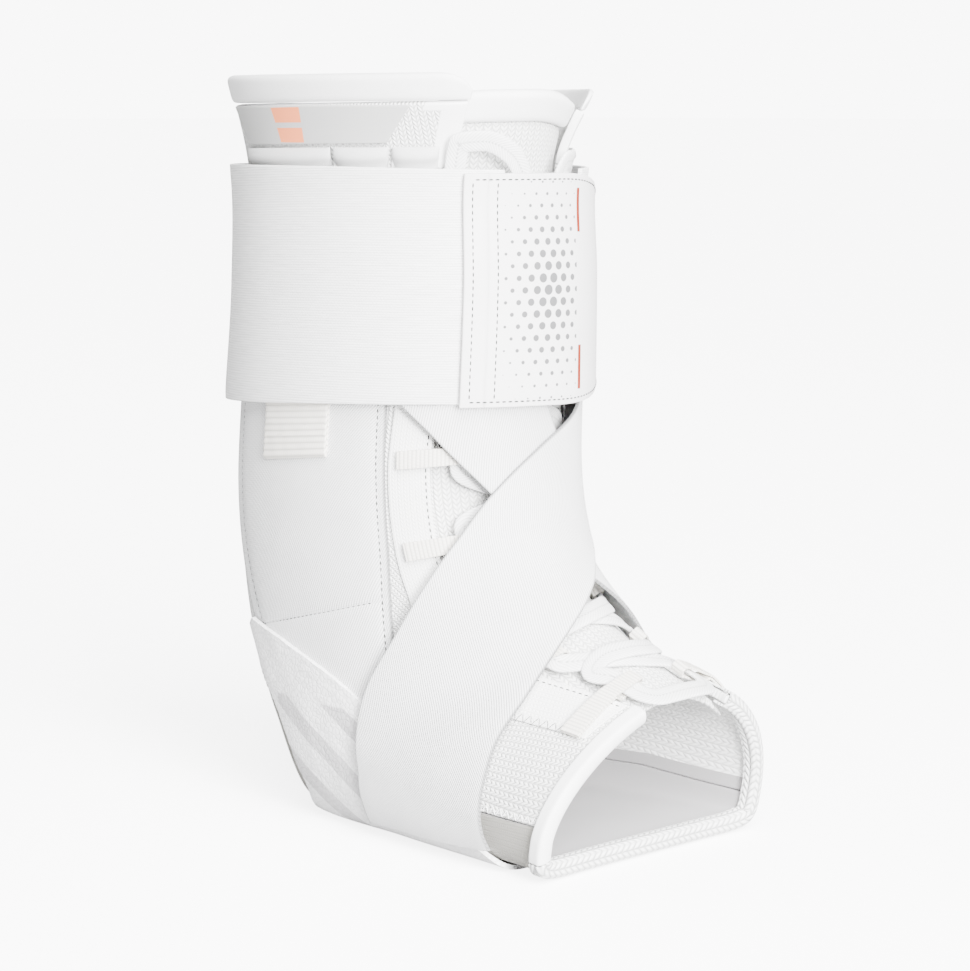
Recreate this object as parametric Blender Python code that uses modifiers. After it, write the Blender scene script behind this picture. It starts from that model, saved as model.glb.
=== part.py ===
"""Lace-up ankle brace, modelled on one shared form: the outer surface of its knit boot.

Metres, +Z up. The toes point along -Y and the heel along +Y. The side seen in the photograph,
called near, is at -X. The origin is on the flat underside of the heel wrap, below the leg's axis.

Every piece is a sheet laid on the form. A place on the form has a station, from 0 above the collar
to 1 at the toe opening, and a girth, from 0 on the front ridge to +1 (near) or -1 (far) on the
back seam and the sole's centre line. A lift is a height above the form along its normal.
"""
import bmesh
import bpy
import numpy as np
from mathutils import Vector

MM = 0.001

# Overall sizes of the form
FORM_HEIGHT = 262 * MM
SHIN_REACH = 57 * MM
HEEL_REACH = 71.5 * MM
FOOT_REACH = 119 * MM
HALF_WIDTH = 50 * MM
SOLE_ROLL = 6 * MM
FAR_SINK = 6 * MM

# Thicknesses of the materials
KNIT = 3.0 * MM
COLLAR_PAD = 4.0 * MM
TONGUE_PAD = 3.8 * MM
FINGER_PAD = 3.6 * MM
PATCH = 0.9 * MM
FACING = 0.6 * MM
STAY_PANEL = 1.5 * MM
WRAP = 1.6 * MM
CROSS_STRAP = 1.2 * MM
TOP_STRAP = 1.4 * MM
CLOSURE_TAB = 1.8 * MM
WEBBING = 0.7 * MM
BINDING = 0.8 * MM
LACE_THICKNESS = 1.3 * MM
LACE_WIDTH = 6.5 * MM

# Clearances between pieces
SEAM_GAP = 0.3 * MM
SOLE_SEAM_GAP = 0.4 * MM
TONGUE_GAP = 0.8 * MM
LAYER_GAP = 0.5 * MM
TURNED_GAP = 0.4 * MM

# Smaller sizes
LAYER = 1.0 * MM
LOOP_WIDTH = 6 * MM
LOOP_ROOT = 11 * MM
LOOP_REACH = 15.5 * MM
TOE_LOOP_ROOT = 20 * MM
TOE_LOOP_SLANT = 6 * MM
LOOP_EYE_REACH = 9.6 * MM
LOOP_EYE_HALF = 5.0 * MM
PULL_LOOP_ROOM = 0.4 * MM
BINDING_LEG = 4.0 * MM
BINDING_NOSE = 0.8 * MM
BINDING_CORNER = 0.7 * MM
BINDING_HEEL = 0.1 * MM
COLLAR_CORNER = 9 * MM
PAD_ROUNDING = 1.4 * MM
COLLAR_PROUD = 0.8 * MM
CORNER_FULLNESS = 0.9

SOLE_LIFT = WRAP + SEAM_GAP
SOLE_INSET = 0.5 * MM

# One row per station of the form. The reaches are shares of the named sizes: the front line lies
# shin * SHIN_REACH + foot * FOOT_REACH ahead of the leg's axis, the back line heel * HEEL_REACH
# behind it less sole * FOOT_REACH, and the heights are shares of FORM_HEIGHT. widest is where along
# its depth a section is widest; front_power and back_power round its two halves; ridge and shift
# move the instep ridge and the section sideways, as shares of HALF_WIDTH. The far side's top edge
# sags by FAR_SINK, from SINK_WIDTH of the half width outwards and above the station SINK_END.
FORM_COLUMNS = ("shin", "foot", "front_z", "heel", "sole", "back_z",
                "width", "widest", "front_power", "back_power", "ridge", "shift")
FORM_ROWS = (
    (1.27, 0.00, 1.000, 1.050, 0.000, 1.000, 1.09, 0.50, 2.05, 2.1, 0.00, 0.00),
    (1.01, 0.00, 0.870, 0.923, 0.000, 0.859, 0.94, 0.50, 2.05, 2.1, 0.00, 0.00),
    (1.01, 0.00, 0.725, 0.923, 0.000, 0.706, 0.94, 0.50, 2.05, 2.1, 0.00, 0.00),
    (1.00, 0.00, 0.592, 0.972, 0.000, 0.553, 0.96, 0.50, 2.05, 2.1, 0.00, 0.00),
    (0.98, 0.00, 0.489, 1.000, 0.000, 0.427, 0.97, 0.50, 2.05, 2.1, 0.00, 0.00),
    (1.03, 0.00, 0.412, 0.993, 0.000, 0.313, 0.95, 0.50, 2.05, 2.1, 0.02, 0.00),
    (0.80, 0.17, 0.359, 0.923, 0.000, 0.206, 0.92, 0.50, 2.00, 2.2, 0.04, 0.00),
    (0.60, 0.36, 0.317, 0.755, 0.000, 0.099, 0.91, 0.52, 1.95, 2.3, 0.08, 0.00),
    (0.40, 0.56, 0.282, 0.392, 0.000, -0.015, 0.93, 0.56, 1.95, 2.5, 0.12, 0.01),
    (0.20, 0.75, 0.254, 0.000, 0.235, -0.023, 0.98, 0.61, 1.90, 2.8, 0.16, 0.02),
    (0.10, 0.88, 0.233, 0.000, 0.605, -0.023, 1.03, 0.65, 1.85, 3.0, 0.18, 0.04),
    (0.00, 1.00, 0.214, 0.000, 0.916, -0.023, 1.08, 0.68, 1.85, 3.2, 0.20, 0.06),
)

# Stations and girths of the edges that several pieces share
COLLAR_TOP = 0.010
COLLAR_BOTTOM = 0.034
BUTT_GAP = 0.0015
TOE_EDGE = 0.997
HEEL_SEAM_TOP = 0.455
HEEL_POINT = 0.468
PADS_TOP = 0.072
PADS_BOTTOM = 0.106
FACING_TOP = 0.116
FACING_TOE = 0.955
FACING_INSET = 0.003
BINDING_GAP = 0.004
PULL_FOLD = 0.004
SINK_END = 0.088
SINK_WIDTH = 0.4
TONGUE_TOP = 0.031
TONGUE_CORNER = 0.012
TONGUE_CORNER_SHARE = 0.45
TONGUE_BINDING_BOTTOM = 0.058
TONGUE_TOE = 0.962
TONGUE_GIRTH = 0.235
LOOP_STATIONS = (0.150, 0.248, 0.346, 0.475, 0.605, 0.735, 0.890)

# The throat's edge, where the boot opens under the laces, and the seam between the knit sides and
# the sole piece: one row per station, with the girth of the edge
THROAT_ROWS = ((0.00, 0.155), (0.15, 0.175), (0.35, 0.200), (0.55, 0.205), (0.80, 0.190), (1.00, 0.160))
SOLE_SEAM_ROWS = ((0.455, 1.000), (0.55, 0.860), (0.65, 0.740), (0.75, 0.640), (0.85, 0.565),
                  (1.00, 0.530))
# The eyelet facing's width as a share of the half girth
FACING_ROWS = ((0.00, 0.080), (0.55, 0.080), (0.75, 0.125), (1.00, 0.135))

# Shares of the way round at which the meshes of the knit sides and of the sole piece have their
# lines, closer together where the form turns most; the sole's other half repeats them
SIDE_LINES = (0.0, 0.07, 0.15, 0.26, 0.39, 0.53, 0.68, 0.84, 1.0)
SOLE_LINES = (0.0, 0.05, 0.09, 0.13, 0.17, 0.21, 0.26, 0.33, 0.41, 0.50)
BINDING_SPLIT_LINE = 2
BESIDE_SEAM = 0.99

# Mesh lines along and across each sheet
GRIDS = {
    "collar_patch": (13, 3),
    "stay_panel": (8, 6),
    "eyelet_facing": (20, 4),
    "heel_wrap": (39, 8),
    "cross_strap": (25, 6),
    "top_strap": (33, 5),
    "closure_tab": (9, 5),
    "tongue": 7,
    "collar": 19,
}
COLLAR_END_LINES = (0.0, 0.012, 0.03)
FINGER_LINES = 24

# The loops' webbing, as it goes out over the eye and back: one row per point, with how far inward
# from the throat's edge it is, as a share of LOOP_REACH, and its lift in units of LAYER; the lapped
# legs are added at both ends
LOOP_EYE_ROWS = ((0.155, 0.2), (0.270, -2.0), (0.948, -2.0), (1.000, -0.4), (0.948, 1.4), (0.322, 2.0))
LOOP_LAP = 0.9 * MM
LOOP_BEND = 2.5 * MM

# Sheets between two edges: one row per rung, with the station and girth of its two ends and the
# sheet's lift there, in units of LAYER
RUNG_COLUMNS = ("first_station", "first_girth", "second_station", "second_girth", "lift")
PATCH_RUNGS = (
    (0.0370, 0.735, 0.0690, 0.690, 0.4),
    (0.0370, 0.580, 0.0690, 0.560, 0.4),
    (0.0370, 0.410, 0.0690, 0.420, 0.4),
    (0.0370, 0.260, 0.0690, 0.300, 0.4),
)
STAY_RUNGS = (
    (0.150, 0.730, 0.150, 0.290, 0.5),
    (0.280, 0.730, 0.284, 0.290, 0.5),
    (0.400, 0.727, 0.390, 0.290, 0.5),
    (0.500, 0.712, 0.490, 0.303, 0.5),
    (0.560, 0.702, 0.585, 0.338, 0.5),
    (0.605, 0.700, 0.668, 0.385, 0.5),
)
WRAP_RUNGS = (
    (0.532, 0.712, 0.526, 0.694, 2.5),
    (0.585, 0.706, 0.560, 0.610, 2.5),
    (0.630, 0.700, 0.600, 0.545, 2.5),
    (0.664, 0.698, 0.642, 0.497, 2.5),
    (0.692, 0.706, 0.690, 0.467, 2.0),
    (0.714, 0.728, 0.742, 0.500, 0.9),
    (0.728, 0.765, 0.800, 0.570, 0.3),
    (0.736, 0.810, 0.860, 0.615, 0.3),
    (0.740, 0.850, 0.930, 0.650, 0.3),
    (0.742, 0.890, 0.950, 0.700, 0.3),
    (0.743, 0.945, 0.948, 0.850, 0.3),
    (0.744, 1.000, 0.944, 1.000, 0.3),
)
NEAR_STRAP_RUNGS = (
    (0.790, 0.706, 0.934, 0.622, 2.4),
    (0.778, 0.665, 0.918, 0.590, 2.6),
    (0.764, 0.625, 0.900, 0.535, 3.0),
    (0.745, 0.570, 0.880, 0.470, 3.8),
    (0.718, 0.518, 0.854, 0.393, 4.8),
    (0.670, 0.440, 0.814, 0.265, 5.2),
    (0.616, 0.340, 0.762, 0.153, 5.3),
    (0.546, 0.248, 0.694, 0.055, 5.8),
    (0.474, 0.175, 0.628, -0.015, 5.8),
    (0.400, 0.100, 0.560, -0.085, 5.8),
    (0.340, 0.002, 0.490, -0.165, 5.8),
    (0.294, -0.125, 0.420, -0.250, 5.8),
    (0.235, -0.215, 0.335, -0.330, 4.8),
    (0.180, -0.270, 0.250, -0.385, 3.8),
)
FAR_STRAP_RUNGS = (
    (0.786, -0.690, 0.926, -0.612, 2.5),
    (0.778, -0.665, 0.918, -0.590, 2.6),
    (0.764, -0.625, 0.900, -0.535, 3.0),
    (0.745, -0.570, 0.880, -0.470, 3.8),
    (0.718, -0.518, 0.854, -0.393, 4.6),
    (0.670, -0.440, 0.800, -0.265, 4.6),
    (0.612, -0.350, 0.730, -0.170, 4.0),
    (0.545, -0.270, 0.655, -0.080, 3.6),
    (0.475, -0.200, 0.575, -0.020, 3.6),
    (0.410, -0.130, 0.490, 0.040, 3.6),
    (0.352, -0.075, 0.400, 0.100, 3.6),
    (0.305, -0.030, 0.324, 0.193, 3.6),
    (0.255, 0.020, 0.275, 0.275, 4.0),
    (0.190, 0.090, 0.215, 0.370, 4.0),
)
TOP_STRAP_RUNGS = (
    (0.0900, 0.085, 0.2880, 0.085, 5.9),
    (0.0880, 0.250, 0.2840, 0.250, 5.9),
    (0.0860, 0.450, 0.2800, 0.450, 5.5),
    (0.0840, 0.800, 0.2780, 0.800, 5.3),
    (0.0840, 1.000, 0.2770, 1.000, 5.1),
    (0.0840, 1.200, 0.2780, 1.200, 5.3),
    (0.0860, 1.450, 0.2800, 1.450, 5.4),
    (0.0880, 1.650, 0.2830, 1.650, 6.6),
    (0.0890, 1.780, 0.2860, 1.780, 7.0),
    (0.0900, 1.900, 0.2880, 1.900, 7.0),
)
TAB_RUNGS = (
    (0.0920, 0.155, 0.2890, 0.158, 7.8),
    (0.0920, 0.050, 0.2910, 0.055, 8.2),
    (0.0930, -0.060, 0.2920, -0.060, 9.1),
    (0.1020, -0.150, 0.2860, -0.145, 9.4),
    (0.1130, -0.215, 0.2760, -0.210, 9.4),
)
# The three padded fingers above the top strap: one row each, with the girths of their sides
FINGER_GIRTHS = ((0.700, 0.422), (0.415, 0.296), (0.289, 0.200))
PULL_LOOP_GIRTHS = (0.575, 0.408)
PULL_LOOP_STATIONS = (0.235, 0.336)

# The lace's way past the top eyelets into its bow, down under the closure tab, up to the near toe
# loop, and across the toe end of the throat: one row per point, with its station, girth and lift in
# units of LAYER
NEAR_BOW_ROWS = (
    (0.125, 0.128, 0.3),
    (0.109, 0.142, 1.8),
    (0.090, 0.168, 2.0),
    (0.069, 0.166, 2.4),
    (0.066, 0.122, 2.8),
    (0.077, 0.070, 3.0),
    (0.105, 0.030, 3.0),
    (0.175, 0.000, 3.0),
)
FAR_BOW_ROWS = (
    (0.125, -0.128, 0.3),
    (0.102, -0.132, 1.8),
    (0.084, -0.128, 2.4),
    (0.084, -0.092, 3.0),
    (0.110, -0.065, 3.0),
    (0.175, -0.070, 3.0),
)
# Lifts of the lace in the loops' eyes and where its strands cross, in units of LAYER
LACE_IN_EYE = -0.3
LACE_OVER = -0.5
LACE_UNDER = -2.5
TOE_CROSSING_ROWS = ((0.790, -0.035, -0.5), (0.785, 0.060, -0.5), (0.820, 0.130, -0.4))
TOE_BAR_ROWS = ((0.972, 0.085, -0.8), (0.985, 0.000, -0.8), (0.972, -0.085, -0.8))

# Colours, roughness and metallic value of the materials
MATERIALS = {
    "white_knit": ((0.84, 0.84, 0.84), 0.85, 0.0),
    "grey_knit": ((0.62, 0.61, 0.58), 0.85, 0.0),
    "soft_lining": ((0.88, 0.88, 0.88), 0.70, 0.0),
    "grey_foam": ((0.66, 0.66, 0.66), 0.80, 0.0),
    "white_padding": ((0.80, 0.80, 0.80), 0.80, 0.0),
    "white_twill": ((0.82, 0.82, 0.82), 0.80, 0.0),
    "white_synthetic_leather": ((0.86, 0.86, 0.86), 0.45, 0.0),
    "printed_tab": ((0.80, 0.80, 0.80), 0.55, 0.0),
    "elastic_strap": ((0.80, 0.80, 0.80), 0.80, 0.0),
    "webbing": ((0.84, 0.82, 0.78), 0.75, 0.0),
    "lace_cord": ((0.86, 0.86, 0.86), 0.70, 0.0),
}

SIDES = (("near", 1), ("far", -1))
HEEL_SHOULDER = 0.49
NEAR_LINE = 0.01
LEG_STATIONS = np.concatenate([np.linspace(COLLAR_BOTTOM + BUTT_GAP, PADS_BOTTOM, 4),
                               np.linspace(PADS_BOTTOM, HEEL_SEAM_TOP, 8)[1:]])
SEAM_STATIONS = np.concatenate([[HEEL_POINT], np.linspace(HEEL_SHOULDER, TOE_EDGE, 13)])
PROBE = 1e-3
LACE_PROBE = 1e-4
WELD = 1e-5
STATION_LIMITS = (-0.05, 1.05)
STATION_COUNT = 221
ANGLE_COUNT = 181
SHARE_COUNT = 121


def level_slopes(values):
    """Slopes that never overshoot a row, and are level beside a run of equal values."""
    steps = np.diff(values, axis=0)
    before, after = steps[:-1], steps[1:]
    same_way = before * after > 0
    shared = 2 * before * after / np.where(same_way, before + after, 1.0)
    return np.concatenate([steps[:1], np.where(same_way, shared, 0.0), steps[-1:]])


def smooth(values, x, level=False):
    """A cubic curve through evenly spaced rows of values, read at x from 0 to 1."""
    values = np.asarray(values, float)
    slopes = level_slopes(values) if level else np.gradient(values, axis=0)
    place = np.asarray(x, float) * (len(values) - 1)
    row = np.clip(np.floor(place).astype(int), 0, len(values) - 2)
    along = (place - row)[..., None]
    inside = np.clip(along, 0, 1)
    curve = ((2 * inside**3 - 3 * inside**2 + 1) * values[row]
             + (inside**3 - 2 * inside**2 + inside) * slopes[row]
             + (3 * inside**2 - 2 * inside**3) * values[row + 1]
             + (inside**3 - inside**2) * slopes[row + 1])
    end_slope = np.where(along > 1, slopes[row + 1], slopes[row])
    return curve + (along - inside) * end_slope


def lookup(rows, station):
    """Girth of an edge at a station, from its rows."""
    stations, girths = zip(*rows)
    return np.interp(station, stations, girths)


def section(station, angle):
    """Point of the form at a station and an angle round its section (0 in front, + near)."""
    station, angle = np.broadcast_arrays(np.asarray(station, float), np.asarray(angle, float))
    row = smooth(FORM_ROWS, station)
    value = {name: row[..., index] for index, name in enumerate(FORM_COLUMNS)}
    front = np.stack([-value["shin"] * SHIN_REACH - value["foot"] * FOOT_REACH,
                      value["front_z"] * FORM_HEIGHT], -1)
    back = np.stack([value["heel"] * HEEL_REACH - value["sole"] * FOOT_REACH,
                     value["back_z"] * FORM_HEIGHT], -1)
    depth = np.linalg.norm(front - back, axis=-1)
    forward = (front - back) / depth[..., None]
    middle = front - forward * (depth * value["widest"])[..., None]
    ahead, aside = np.cos(angle), np.sin(angle)
    reach = np.where(ahead > 0, depth * value["widest"], depth * (1 - value["widest"]))
    power = np.where(ahead > 0, value["front_power"], value["back_power"])
    width = value["width"] * HALF_WIDTH
    radius = ((np.abs(ahead) / reach)**power + (np.abs(aside) / width)**power)**(-1 / power)
    up = radius * ahead
    ridge = value["ridge"] * HALF_WIDTH * np.clip(up / (depth * value["widest"]), 0, 1)**1.5
    across = value["shift"] * HALF_WIDTH - radius * aside + ridge
    side_view = middle + forward * up[..., None]
    height = side_view[..., 1] - SOLE_LIFT
    outward = np.clip(across / (SINK_WIDTH * HALF_WIDTH), 0, 1)
    height = height - FAR_SINK * outward**2 * np.clip(1 - station / SINK_END, 0, 1)
    rolled = (height + SOLE_ROLL)**2 / (4 * SOLE_ROLL)
    height = np.where(height < -SOLE_ROLL, 0, np.where(height > SOLE_ROLL, height, rolled))
    return np.stack([across, side_view[..., 0], height + SOLE_LIFT], -1)


def girth_table(side):
    """Angles at even shares of the half girth, at evenly spaced stations."""
    stations = np.linspace(*STATION_LIMITS, STATION_COUNT)
    angles = np.linspace(0, np.pi, ANGLE_COUNT)
    points = section(stations[:, None], side * angles[None, :])
    steps = np.linalg.norm(np.diff(points, axis=1), axis=-1)
    lengths = np.concatenate([np.zeros((STATION_COUNT, 1)), np.cumsum(steps, axis=1)], 1)
    shares = np.linspace(0, 1, SHARE_COUNT)
    return np.array([np.interp(shares * line[-1], line, angles) for line in lengths])


ANGLES = {side: girth_table(side) for _, side in SIDES}


def angle_at(station, girth):
    """Angle round the section at a station and a girth."""
    station, girth = np.broadcast_arrays(np.asarray(station, float), np.asarray(girth, float))
    girth = (girth + 1) % 2 - 1
    low, high = STATION_LIMITS
    row = np.clip((station - low) / (high - low) * (STATION_COUNT - 1), 0, STATION_COUNT - 1.001)
    column = np.clip(np.abs(girth) * (SHARE_COUNT - 1), 0, SHARE_COUNT - 1.001)
    i, j = row.astype(int), column.astype(int)
    a, b = row - i, column - j

    def read(table):
        return ((table[i, j] * (1 - a) + table[i + 1, j] * a) * (1 - b)
                + (table[i, j + 1] * (1 - a) + table[i + 1, j + 1] * a) * b)

    return np.where(girth >= 0, read(ANGLES[1]), -read(ANGLES[-1]))


def place(station, girth, lift=0.0):
    """Point at a lift above the form."""
    angle = angle_at(station, girth)
    station = np.asarray(station, float)
    down = section(station + PROBE, angle) - section(station - PROBE, angle)
    round_it = section(station, angle + PROBE) - section(station, angle - PROBE)
    normal = np.cross(round_it, down)
    normal /= np.linalg.norm(normal, axis=-1, keepdims=True)
    return section(station, angle) + normal * np.asarray(lift)[..., None]


def stretch(station, girth):
    """Metres per unit of station and per unit of girth at a place on the form."""
    down = place(station + PROBE, girth) - place(station - PROBE, girth)
    round_it = place(station, girth + PROBE) - place(station, girth - PROBE)
    return (np.linalg.norm(down, axis=-1) / (2 * PROBE),
            np.linalg.norm(round_it, axis=-1) / (2 * PROBE))


def add_sheet(bm, surface, lines, rungs):
    """Grid mapped by surface(t, c, extra_lift), with t and c at the given values, facing out."""
    start = len(bm.verts)
    bmesh.ops.create_grid(bm, x_segments=len(lines) - 1, y_segments=len(rungs) - 1, size=0.5)
    bm.verts.ensure_lookup_table()
    verts = bm.verts[start:]
    flat = np.array([vert.co[:2] for vert in verts]) + 0.5
    t = np.interp(flat[:, 0], np.linspace(0, 1, len(lines)), lines)
    c = np.interp(flat[:, 1], np.linspace(0, 1, len(rungs)), rungs)
    points = surface(t, c, 0 * t)
    outward = surface(t, c, 0 * t + MM) - points
    for vert, point in zip(verts, points):
        vert.co = point
    first = verts[0].link_faces[0]
    first.normal_update()
    if first.normal.dot(Vector(outward[0])) < 0:
        bmesh.ops.reverse_faces(bm, faces=list({face for vert in verts for face in vert.link_faces}))


def finish_sheet(name, bm, thickness, material, collection, offset=1.0, rounding=0.0):
    """Object from an open sheet, thickened by Solidify and, for padding, rounded by Bevel."""
    bmesh.ops.remove_doubles(bm, verts=bm.verts, dist=WELD)
    mesh = bpy.data.meshes.new(name)
    bm.to_mesh(mesh)
    bm.free()
    mesh.materials.append(material)
    mesh.shade_smooth()
    piece = bpy.data.objects.new(name, mesh)
    collection.objects.link(piece)
    solid = piece.modifiers.new("Thickness", "SOLIDIFY")
    solid.thickness = thickness
    solid.offset = offset
    solid.use_even_offset = True
    if rounding:
        bevel = piece.modifiers.new("Rounding", "BEVEL")
        bevel.width = rounding
        bevel.segments = 1
        bevel.limit_method = "ANGLE"
        bevel.angle_limit = np.radians(60)
    return piece


def between(rungs):
    """Surface between two edges: t runs from rung to rung, c from the first edge to the second."""
    def surface(t, c, extra):
        row = smooth(rungs, t)
        rung = {name: row[..., index] for index, name in enumerate(RUNG_COLUMNS)}
        station = rung["first_station"] * (1 - c) + rung["second_station"] * c
        girth = rung["first_girth"] * (1 - c) + rung["second_girth"] * c
        return place(station, girth, rung["lift"] * LAYER + extra)
    return surface


def mirrored(rungs):
    """The same rungs on the other side."""
    return tuple((a, -b, c, -d, lift) for a, b, c, d, lift in rungs)


def round_the_back(rungs):
    """Rungs that end on the back seam or the sole's centre, carried on up the far side."""
    onward = tuple((a, 2 - b, c, 2 - d, lift) for a, b, c, d, lift in reversed(rungs[:-1]))
    return rungs + onward


def even(count):
    """Evenly spaced values from 0 to 1."""
    return np.linspace(0, 1, count)


def grid(name):
    """Evenly spaced mesh lines along and across a sheet."""
    along, across = GRIDS[name]
    return even(along), even(across)


class Brace:
    """Builds the pieces into one collection, sharing the materials."""

    def __init__(self):
        self.collection = bpy.data.collections.new("lace_up_ankle_brace")
        bpy.context.scene.collection.children.link(self.collection)
        self.materials = {name: self.material(name, *look) for name, look in MATERIALS.items()}

    @staticmethod
    def material(name, colour, roughness, metallic):
        material = bpy.data.materials.new(name)
        material.use_nodes = True
        shader = material.node_tree.nodes["Principled BSDF"]
        shader.inputs["Base Color"].default_value = (*colour, 1.0)
        shader.inputs["Roughness"].default_value = roughness
        shader.inputs["Metallic"].default_value = metallic
        return material

    def sheet(self, name, surface, lines, rungs, thickness, material, rounding=0.0, offset=1.0):
        bm = bmesh.new()
        add_sheet(bm, surface, lines, rungs)
        return finish_sheet(name, bm, thickness, self.materials[material], self.collection,
                            offset, rounding)

    def knit_sides(self):
        """The boot's two knit sides, joined up the back above the heel seam."""
        def side_surface(side):
            def surface(t, c, extra):
                hem = np.where(t <= HEEL_SEAM_TOP, 1.0, lookup(SOLE_SEAM_ROWS, t))
                around = stretch(t, side * hem * BESIDE_SEAM)[1]
                hem = np.where(t <= HEEL_SEAM_TOP, 1.0, hem - SOLE_SEAM_GAP / 2 / around)
                edge = lookup(THROAT_ROWS, t)
                return place(t, side * (edge * (1 - c) + hem * c), extra - KNIT)
            return surface
        stations = np.concatenate([LEG_STATIONS, SEAM_STATIONS])
        bm = bmesh.new()
        for _, side in SIDES:
            add_sheet(bm, side_surface(side), stations, SIDE_LINES)
        finish_sheet("knit_sides", bm, KNIT, self.materials["white_knit"], self.collection)

    def sole_piece(self):
        """The sole of the boot, which rises to a point up the back of the heel."""
        def surface(t, c, extra):
            seam = lookup(SOLE_SEAM_ROWS, t)
            seam = seam + SOLE_SEAM_GAP / 2 / stretch(t, seam * BESIDE_SEAM)[1]
            return place(t, seam + 2 * (1 - seam) * c, extra - KNIT - SOLE_INSET)
        lines = SOLE_LINES + tuple(1 - line for line in reversed(SOLE_LINES[:-1]))
        self.sheet("sole_piece", surface, SEAM_STATIONS, lines, KNIT, "grey_knit")

    def collar(self):
        """Padded roll round the top edge, with rounded corners at the throat."""
        def surface(t, c, extra):
            edge = lookup(THROAT_ROWS, COLLAR_TOP)
            girth = edge + 2 * (1 - edge) * t
            down, around = stretch(COLLAR_BOTTOM + 0 * t, girth)
            from_end = np.minimum(t, 1 - t) * 2 * (1 - edge) * around
            short = np.clip(1 - from_end / COLLAR_CORNER, 0, 1)
            corner = COLLAR_CORNER * (1 - np.sqrt(1 - short**2 * CORNER_FULLNESS)) / down
            top = COLLAR_TOP + corner
            return place(top * (1 - c) + COLLAR_BOTTOM * c, girth, extra - COLLAR_PAD + COLLAR_PROUD)
        ends = np.array(COLLAR_END_LINES)
        step = 2 * ends[-1]
        middle = np.linspace(step, 1 - step, GRIDS["collar"])
        lines = np.concatenate([ends, middle, 1 - ends[::-1]])
        self.sheet("collar", surface, lines, even(2), COLLAR_PAD, "soft_lining", PAD_ROUNDING)

    def tongue(self):
        """Padded tongue under the throat, and the smooth binding on its top."""
        low = -KNIT - TONGUE_GAP - TONGUE_PAD

        def strip(t, c, extra):
            return place(t, TONGUE_GIRTH * (1 - 2 * c), extra + low)
        top = TONGUE_BINDING_BOTTOM + BUTT_GAP
        body = [line for line in (*LEG_STATIONS, *SEAM_STATIONS)
                if top + NEAR_LINE < line < TONGUE_TOE - NEAR_LINE]
        self.sheet("tongue", strip, [top, *body, TONGUE_TOE], even(GRIDS["tongue"]), TONGUE_PAD,
                   "white_knit")

        def rounded(t, c, extra):
            side = np.abs(2 * c - 1)
            into_corner = np.clip((side - 1) / TONGUE_CORNER_SHARE + 1, 0, 1)
            dip = into_corner**2 * TONGUE_CORNER
            top = TONGUE_TOP + dip
            return place(top * (1 - t) + TONGUE_BINDING_BOTTOM * t, TONGUE_GIRTH * (1 - 2 * c),
                         extra + low)
        self.sheet("tongue_binding", rounded, even(3), even(11), TONGUE_PAD, "soft_lining",
                   PAD_ROUNDING)

    def side_panels(self):
        """Grey patch, padded fingers, stay panel and pull loop on each side."""
        for name, side in SIDES:
            turn = (lambda rungs: rungs) if side > 0 else mirrored
            self.sheet(f"collar_patch_{name}", between(turn(PATCH_RUNGS)),
                       *grid("collar_patch"), PATCH, "grey_foam")
            for number, (rear, front) in enumerate(FINGER_GIRTHS, 1):
                lift = (LAYER_GAP + SEAM_GAP) / LAYER
                rungs = turn(((PADS_TOP, rear, PADS_BOTTOM, rear, lift),
                              (PADS_TOP, front, PADS_BOTTOM, front, lift)))
                count = max(4, round(FINGER_LINES * (rear - front)))
                self.sheet(f"padded_finger_{name}_{number}", between(rungs), even(count), even(3),
                           FINGER_PAD, "white_padding", PAD_ROUNDING)
            self.sheet(f"stay_panel_{name}", between(turn(STAY_RUNGS)), *grid("stay_panel"),
                       STAY_PANEL, "white_twill")
            self.pull_loop(f"pull_loop_{name}", side)

    def pull_loop(self, name, side):
        """Folded webbing that hangs from under the top strap, its fold at the bottom."""
        top, fold = PULL_LOOP_STATIONS
        inner = LAYER_GAP + STAY_PANEL + TURNED_GAP + WEBBING / 2
        outer = inner + WEBBING + PULL_LOOP_ROOM
        profile = ((top, inner), (fold - PULL_FOLD, inner), (fold, (inner + outer) / 2),
                   (fold - PULL_FOLD, outer), (top, outer))

        def surface(t, c, extra):
            row = np.array([np.interp(t, even(len(profile)), column) for column in zip(*profile)])
            girth = PULL_LOOP_GIRTHS[0] * (1 - c) + PULL_LOOP_GIRTHS[1] * c
            return place(row[0], side * girth, row[1] + extra)
        self.sheet(name, surface, even(len(profile)), even(6), WEBBING, "webbing", offset=0.0)

    def facings(self):
        """Strips sewn along the throat's edges, which carry the lace loops."""
        for name, side in SIDES:
            def surface(t, c, extra, side=side):
                edge = lookup(THROAT_ROWS, t)
                girth = edge + FACING_INSET + lookup(FACING_ROWS, t) * c
                return place(t, side * girth, extra + SEAM_GAP)
            lines, rungs = grid("eyelet_facing")
            stations = FACING_TOP + (FACING_TOE - FACING_TOP) * lines
            self.sheet(f"eyelet_facing_{name}", surface, stations, rungs, FACING, "white_knit")

    def wrap(self):
        """Sling of smooth sheet under the heel, with a wing up each side."""
        rungs = round_the_back(WRAP_RUNGS)
        self.sheet("heel_wrap", between(rungs), *grid("heel_wrap"), WRAP, "white_synthetic_leather")

    def straps(self):
        """The two crossed straps, the closing strap and its tab."""
        for name, rungs in (("near", NEAR_STRAP_RUNGS), ("far", FAR_STRAP_RUNGS)):
            self.sheet(f"cross_strap_{name}", between(rungs), *grid("cross_strap"), CROSS_STRAP,
                       "white_twill")
        self.sheet("top_strap", between(TOP_STRAP_RUNGS), *grid("top_strap"), TOP_STRAP,
                   "elastic_strap")
        self.sheet("closure_tab", between(TAB_RUNGS), *grid("closure_tab"), CLOSURE_TAB, "printed_tab")

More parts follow.
